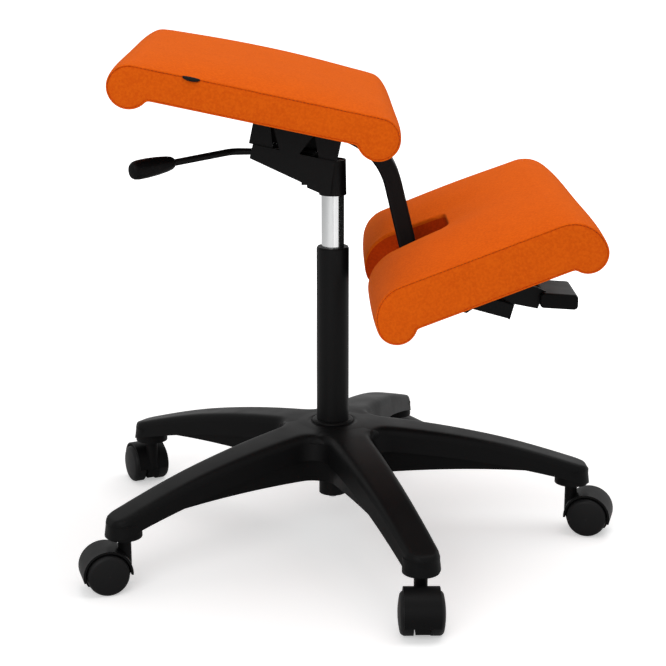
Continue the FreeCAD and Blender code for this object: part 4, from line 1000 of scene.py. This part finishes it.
def tag_mesh():
    """A loop of tape that stands out of the seat's near seam and droops, fullest in its middle."""
    turn = slope(SEAT_ORIGIN, SEAT_TILT)
    back = turn.inverted()
    along = [(back @ v.co).x for v in frame["nodes"]["seat_tag"].data.vertices]
    root = TAG_ROOT - sizes().seat_width / 2
    build = Builder()
    rows = []
    for k in range(TAG_STEPS + 1):
        share = k / TAG_STEPS
        s = min(along) + (max(along) - min(along)) * share
        full = TAG_LEAST + (1.0 - TAG_LEAST) * math.sqrt(math.sin(math.pi * share) + 1e-6)
        rows.append(build.row([(s, root - out * full, SEAT_THICKNESS + rise * full - TAG_DROP)
                               for out, rise in TAG_LOOP]))
    build.tube(rows)
    mesh = build.mesh("tag_tape")
    mesh.transform(turn)
    return mesh


# Raised tops of the base

def met_from_above(solid, place):
    """Point where a ray straight down on a place meets the solid, or None."""
    return solid.ray_cast(Vector((place.x, place.y, RAY_START)), Vector((0.0, 0.0, -1.0)))[0]


def top_of(solid, place):
    """Height of the solid's top over a place."""
    hit = met_from_above(solid, place)
    if hit is None:
        raise RuntimeError(f"nothing of the base at {tuple(place)}")
    return hit.z


def arm_half_width(solid, turn, reach):
    """Distance across an arm from its middle line to where its top has turned down."""
    middle = top_of(solid, turn @ Vector((reach, 0.0, 0.0)))
    across = 0.0
    while across < ARM_WIDEST:
        hit = met_from_above(solid, turn @ Vector((reach, across, 0.0)))
        if hit is None or hit.z < middle - ARM_EDGE_DROP - ARM_FALL * across:
            break
        across += ARM_STEP
    return across


def crown_reaches():
    """Places along an arm of the rows of its raised top, close together at the tip."""
    body = np.linspace(CROWN_START, CROWN_END - CROWN_TIP, CROWN_ROWS)[:-1]
    tip = 1.0 - np.sin(np.linspace(0.0, 0.5, CROWN_TIP_ROWS) * math.pi)
    return np.concatenate([body, CROWN_END - CROWN_TIP * tip])


def crown_share(reach):
    """Share of the full rise at a place along an arm: less at the hub and near the tip, none at its end."""
    tip = min(1.0, (CROWN_END - reach) / CROWN_TIP)
    share = CROWN_HUB_SHARE + (1.0 - CROWN_HUB_SHARE) * eased((reach - CROWN_START) / CROWN_FADE_IN)
    share *= 1.0 - CROWN_FALL * eased((reach - CROWN_FALL_START) / CROWN_FALL_LENGTH)
    return share * (1.0 - (1.0 - tip) ** CROWN_POWER)


def crown_ring(build, solid, turn, reach, height):
    """Ring across an arm: over its raised top from side to side, and back just under the solid's own top."""
    half = arm_half_width(solid, turn, reach)
    over = []
    under = []
    for share in np.sin(np.linspace(-0.5, 0.5, CROWN_COLUMNS + 1) * math.pi):
        place = turn @ Vector((reach, share * half, 0.0))
        surface = top_of(solid, place)
        rise = height * (1.0 - abs(share) ** CROWN_POWER) - CROWN_SINK
        over.append((place.x, place.y, surface + rise))
        under.append((place.x, place.y, surface - 2 * CROWN_SINK))
    return build.row(over) + build.row(under)[::-1]


def arm_crown_mesh(height):
    """Raised tops of the arms, which sink into them at their edges, and the ring on the hub between them."""
    node = frame["nodes"]["star_base"]
    places = [node.matrix_world @ v.co for v in node.data.vertices]
    solid = BVHTree.FromPolygons(places, [tuple(f.vertices) for f in node.data.polygons])
    build = Builder()
    build.turned(HUB_RING, HUB_SEGMENTS)
    for number in range(ARM_COUNT):
        turn = Matrix.Rotation(2 * math.pi * number / ARM_COUNT, 3, "Z")
        build.tube([crown_ring(build, solid, turn, reach, height * crown_share(reach))
                    for reach in crown_reaches()])
    return build.mesh("arm_crowns")


# Gas lever and brackets

def thicker_rod(node, thickness):
    """The lever's rod, thicker where it stands out of the mechanism."""
    mesh = bpy.data.meshes.new("lever_rod_coated")
    shell = bmesh.new()
    shell.from_mesh(node.data)
    shell.transform(node.matrix_world)
    bmesh.ops.remove_doubles(shell, verts=shell.verts, dist=SLIVER_LENGTH)
    shell.normal_update()
    for vertex in shell.verts:
        vertex.co += vertex.normal * thickness * eased((THICK_ROD_START - vertex.co.x) / THICK_ROD_FADE)
    shell.to_mesh(mesh)
    shell.free()
    mesh.set_sharp_from_angle(angle=SHARP_ANGLE)
    return mesh


def grip_mesh():
    """Oval handle with blunt rounded ends, fullest near its tip."""
    along = (GRIP_TIP - GRIP_START).normalized()
    beside = along.cross(Vector((0.0, 0.0, 1.0))).normalized()
    above = beside.cross(along)
    build = Builder()
    rings = []
    for place, tall, wide in zip(GRIP_PLACES, GRIP_TALL, GRIP_WIDE):
        middle = GRIP_START + along * place
        ring = []
        for k in range(GRIP_SEGMENTS):
            angle = 2 * math.pi * k / GRIP_SEGMENTS
            ring.append(tuple(middle + above * tall * math.cos(angle) + beside * wide * math.sin(angle)))
        rings.append(build.row(ring))
    build.tube(rings)
    return build.mesh("lever_grip_moulded")


def end_paint_mesh():
    """Flat ring of paint on the gas cylinder's end, round the release button."""
    build = Builder()
    build.turned(END_PAINT, END_SEGMENTS)
    return build.mesh("cylinder_end_paint")


def spacer_mesh(name, side):
    """Folded bracket of two cheeks and a thick top with one slanted end, and a wall inside it."""
    inner = SPACER_HALF - SPACER_WALL
    rim = side[0][1]
    crest = side[3][1]
    share = SPACER_CAP / (crest - rim)
    top = between(side[3], side[0], [share]) + between(side[2], side[1], [share]) + list(side[2:])
    ends = [SPACER_MIDDLE] + [s for s, _ in side]
    rear, front = min(ends), max(ends)
    low = rim + SPACER_WALL_LIFT
    wall = [(rear, low), (front, low), (front, crest), (rear, crest)]
    build = Builder()
    for near, far, outline in ((-SPACER_HALF, -inner, side), (inner, SPACER_HALF, side),
                               (-inner - SPACER_LAP, inner + SPACER_LAP, top), (*SPACER_INNER_WALL, wall)):
        build.tube([build.row([(s, y, n) for s, n in outline]) for y in (near, far)])
    mesh = build.mesh(name)
    mesh.set_sharp_from_angle(angle=SHARP_ANGLE)
    mesh.transform(slope(SEAT_ORIGIN, SEAT_TILT))
    return mesh


# Studio

def area_lamp(name, place, side, power):
    data = bpy.data.lights.new(name, "AREA")
    data.shape = "RECTANGLE"
    data.size = side
    data.size_y = side
    data.energy = power
    lamp = bpy.data.objects.new(name, data)
    lamp.location = place
    lamp.rotation_mode = "QUATERNION"
    lamp.rotation_quaternion = (Vector(LAMP_TARGET) - Vector(place)).to_track_quat("-Z", "Y")
    bpy.context.scene.collection.objects.link(lamp)


def flat_sheet(name, corners, material):
    mesh = bpy.data.meshes.new(name)
    mesh.from_pydata(corners, [], [(0, 1, 2, 3)])
    mesh.materials.append(material)
    return new_object(name, mesh)


def floor_material():
    """Pale floor that looks white where no shadow falls on it, and everywhere far from the chair."""
    material, shader, place = new_material("studio_floor")
    tone = noise_node(material, place, scale=3.0)
    colour = colours().floor
    link(material, mixed(material, tone, colour, scaled(colour, FLOOR_TONE)), shader.inputs["Base Color"])
    shader.inputs["Roughness"].default_value = 0.9
    shader.inputs["Specular IOR Level"].default_value = 0.0
    nodes = material.node_tree.nodes
    rays = nodes.new("ShaderNodeLightPath")
    distance = nodes.new("ShaderNodeVectorMath")
    distance.operation = "LENGTH"
    link(material, place, distance.inputs[0])
    far = spread(material, distance.outputs["Value"], FLOOR_LIFT, 1.0,
                 FLOOR_SHADOW_REACH, 2.0 * FLOOR_SHADOW_REACH)
    far.node.interpolation_type = "SMOOTHSTEP"
    lift = nodes.new("ShaderNodeMath")
    lift.operation = "MULTIPLY"
    link(material, far, lift.inputs[0])
    link(material, rays.outputs["Is Camera Ray"], lift.inputs[1])
    shader.inputs["Emission Color"].default_value = WHITE
    link(material, lift.outputs["Value"], shader.inputs["Emission Strength"])
    return material


def studio_floor():
    reach = FLOOR_REACH
    corners = [(-reach, -reach, 0), (reach, -reach, 0), (reach, reach, 0), (-reach, reach, 0)]
    flat_sheet("floor", corners, floor_material())


def reflected_card(name, near, far, material):
    """A card beside the plated gas cylinder, seen only in reflections."""
    corners = [(CARD_SIDE, near, CARD_BOTTOM), (CARD_SIDE, far, CARD_BOTTOM),
               (CARD_SIDE, far, CARD_TOP), (CARD_SIDE, near, CARD_TOP)]
    card = flat_sheet(name, corners, material)
    card.visible_camera = False
    card.visible_shadow = False
    card.visible_diffuse = False


def card_light():
    """Pale card that glows a little."""
    material = bpy.data.materials.new("card_light")
    material.use_nodes = True
    shader = material.node_tree.nodes["Principled BSDF"]
    shader.inputs["Emission Color"].default_value = WHITE
    shader.inputs["Emission Strength"].default_value = CARD_GLOW
    return material


def studio_world():
    """White to the camera and in reflections, a softer fill for everything else."""
    world = bpy.data.worlds.new("studio")
    world.use_nodes = True
    tree = world.node_tree
    tree.nodes.clear()
    output = tree.nodes.new("ShaderNodeOutputWorld")
    sky = tree.nodes.new("ShaderNodeBackground")
    rays = tree.nodes.new("ShaderNodeLightPath")
    seen = tree.nodes.new("ShaderNodeMath")
    seen.operation = "MAXIMUM"
    fill = tree.nodes.new("ShaderNodeMapRange")
    fill.inputs["To Min"].default_value = WORLD_FILL
    fill.inputs["To Max"].default_value = 1.0
    sky.inputs["Color"].default_value = WHITE
    tree.links.new(rays.outputs["Is Camera Ray"], seen.inputs[0])
    tree.links.new(rays.outputs["Is Glossy Ray"], seen.inputs[1])
    tree.links.new(seen.outputs["Value"], fill.inputs["Value"])
    tree.links.new(fill.outputs["Result"], sky.inputs["Strength"])
    tree.links.new(sky.outputs["Background"], output.inputs["Surface"])
    bpy.context.scene.world = world


def studio_camera():
    data = bpy.data.cameras.new("camera")
    data.lens = CAMERA_LENS
    data.sensor_width = CAMERA_SENSOR
    camera = bpy.data.objects.new("camera", data)
    camera.location = CAMERA_PLACE
    camera.rotation_euler = (math.pi / 2 - CAMERA_PITCH, 0.0, -CAMERA_YAW)
    bpy.context.scene.collection.objects.link(camera)
    bpy.context.scene.camera = camera


# Operators

class CHAIR_OT_finishes(bpy.types.Operator):
    """Give every rigid part the finish of its material slot"""
    bl_idname = "chair.finishes"
    bl_label = "Finish Rigid Parts"

    def execute(self, context):
        made = slot_materials()
        by_node = {entry["node"]: made[entry["material_slot"]] for entry in frame["record"]["subparts"]}
        missing = sorted(set(frame["nodes"]) - set(by_node))
        if missing:
            raise RuntimeError(f"no material slot names {missing}")
        for name, node in frame["nodes"].items():
            node.data.materials.clear()
            node.data.materials.append(by_node[name])
        return {"FINISHED"}


class CHAIR_OT_seat_cushion(bpy.types.Operator):
    """Make the padded seat with its side panels"""
    bl_idname = "chair.seat_cushion"
    bl_label = "Seat Cushion"

    def execute(self, context):
        settings = sizes()
        piece = make_cushion("seat_cover", seat_shell(), seat_chains, settings.seat_width,
                             settings.seat_dome, SEAT_SEED)
        set_on_slope(piece, SEAT_ORIGIN, SEAT_TILT)
        settle(piece, "seat_frame", "seat_cushion")
        return {"FINISHED"}


class CHAIR_OT_knee_cushion(bpy.types.Operator):
    """Make the padded knee rest with its slot and side panels"""
    bl_idname = "chair.knee_cushion"
    bl_label = "Knee Cushion"

    def execute(self, context):
        settings = sizes()
        piece = make_cushion("knee_cover", pad_shell(), pad_chains, settings.pad_width,
                             settings.pad_dome, PAD_SEED, slot_hollow)
        set_on_slope(piece, PAD_ORIGIN, PAD_TILT)
        settle(piece, "knee_rest", "knee_cushion")
        return {"FINISHED"}


class CHAIR_OT_side_seams(bpy.types.Operator):
    """Sew the side panels of both cushions"""
    bl_idname = "chair.side_seams"
    bl_label = "Side Seams"

    def execute(self, context):
        settings = sizes()
        # The thread's colour carries painted shade along the seams as well as the thread's own colour
        material = plain_material("thread", colours().thread, 0.8, 1200.0, 0.0001)
        seat = seam_lines("seat_seams", seat_chains, settings.seat_width, SEAT_ORIGIN, SEAT_TILT)
        stitched(seat, material, "seat_frame")
        pad = seam_lines("knee_seams", pad_chains, settings.pad_width, PAD_ORIGIN, PAD_TILT)
        stitched(pad, material, "knee_rest")
        return {"FINISHED"}


class CHAIR_OT_seat_tag(bpy.types.Operator):
    """Make the bare folded tag in the seat's side seam"""
    bl_idname = "chair.seat_tag"
    bl_label = "Seat Tag"

    def execute(self, context):
        add_piece("tag_tape", tag_mesh(), "tape_black", "seat_frame", "seat_tag")
        return {"FINISHED"}


class CHAIR_OT_arm_crowns(bpy.types.Operator):
    """Raise the tops of the five arms of the base and of its hub"""
    bl_idname = "chair.arm_crowns"
    bl_label = "Arm Crowns"

    def execute(self, context):
        add_piece("arm_crowns", arm_crown_mesh(sizes().arm_crown), "nylon_black", "base")
        return {"FINISHED"}


class CHAIR_OT_gas_lever(bpy.types.Operator):
    """Thicken the gas lever's rod, give it its moulded grip and paint the gas cylinder's end"""
    bl_idname = "chair.gas_lever"
    bl_label = "Gas Lever"

    def execute(self, context):
        rod = thicker_rod(frame["nodes"]["gas_lever_rod"], sizes().rod_thickening)
        add_piece("lever_rod_coated", rod, "paint_black", "gas_lever", "gas_lever_rod")
        add_piece("lever_grip_moulded", grip_mesh(), "nylon_black", "gas_lever",
                  "gas_lever_grip")
        add_piece("cylinder_end_paint", end_paint_mesh(), "paint_black", "seat_frame")
        return {"FINISHED"}


class CHAIR_OT_spacers(bpy.types.Operator):
    """Make the two folded brackets that carry the bar on the mechanism"""
    bl_idname = "chair.spacers"
    bl_label = "Spacers"

    def execute(self, context):
        for node, side in (("rear_spacer", REAR_SPACER), ("front_spacer", FRONT_SPACER)):
            name = node + "_folded"
            add_piece(name, spacer_mesh(name, side), "paint_black", "seat_frame", node)
        return {"FINISHED"}


class CHAIR_OT_stage(bpy.types.Operator):
    """Set up the floor, the lamps, the world and the camera"""
    bl_idname = "chair.stage"
    bl_label = "Studio"

    def execute(self, context):
        studio_floor()
        dark = plain_material("card_dark", CARD_DARK, 0.9, 10.0, 0.0001, shine=0.0)
        reflected_card("card_pale", CARD_NEAR, CARD_SPLIT, card_light())
        reflected_card("card_dark", CARD_SPLIT, CARD_FAR, dark)
        studio_world()
        for lamp in LAMPS:
            area_lamp(*lamp)
        context.scene.view_settings.view_transform = "Standard"
        studio_camera()
        return {"FINISHED"}


class CHAIR_PT_sidebar(bpy.types.Panel):
    """Sizes, colours and steps of the chair's dressing"""
    bl_idname = "CHAIR_PT_sidebar"
    bl_label = "Kneeling Chair"
    bl_space_type = "VIEW_3D"
    bl_region_type = "UI"
    bl_category = "Chair"

    def draw(self, context):
        layout = self.layout
        for group in (context.scene.chair_sizes, context.scene.chair_colours):
            column = layout.column()
            for name in group.__annotations__:
                column.prop(group, name)
        for operator in OPERATORS:
            layout.operator(operator.bl_idname)


OPERATORS = (CHAIR_OT_finishes, CHAIR_OT_seat_cushion, CHAIR_OT_knee_cushion, CHAIR_OT_side_seams,
             CHAIR_OT_seat_tag, CHAIR_OT_arm_crowns, CHAIR_OT_gas_lever, CHAIR_OT_spacers, CHAIR_OT_stage)
CLASSES = (ChairSizeSettings, ChairColourSettings) + OPERATORS + (CHAIR_PT_sidebar,)


def register():
    for item in CLASSES:
        bpy.utils.register_class(item)
    bpy.types.Scene.chair_sizes = bpy.props.PointerProperty(type=ChairSizeSettings)
    bpy.types.Scene.chair_colours = bpy.props.PointerProperty(type=ChairColourSettings)


def unregister():
    del bpy.types.Scene.chair_colours
    del bpy.types.Scene.chair_sizes
    for item in reversed(CLASSES):
        bpy.utils.unregister_class(item)


def main():
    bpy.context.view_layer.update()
    register()
    bpy.ops.chair.finishes()
    bpy.ops.chair.seat_cushion()
    bpy.ops.chair.knee_cushion()
    bpy.ops.chair.side_seams()
    bpy.ops.chair.seat_tag()
    bpy.ops.chair.arm_crowns()
    bpy.ops.chair.gas_lever()
    bpy.ops.chair.spacers()
    bpy.ops.chair.stage()


if __name__ == "__main__":
    main()
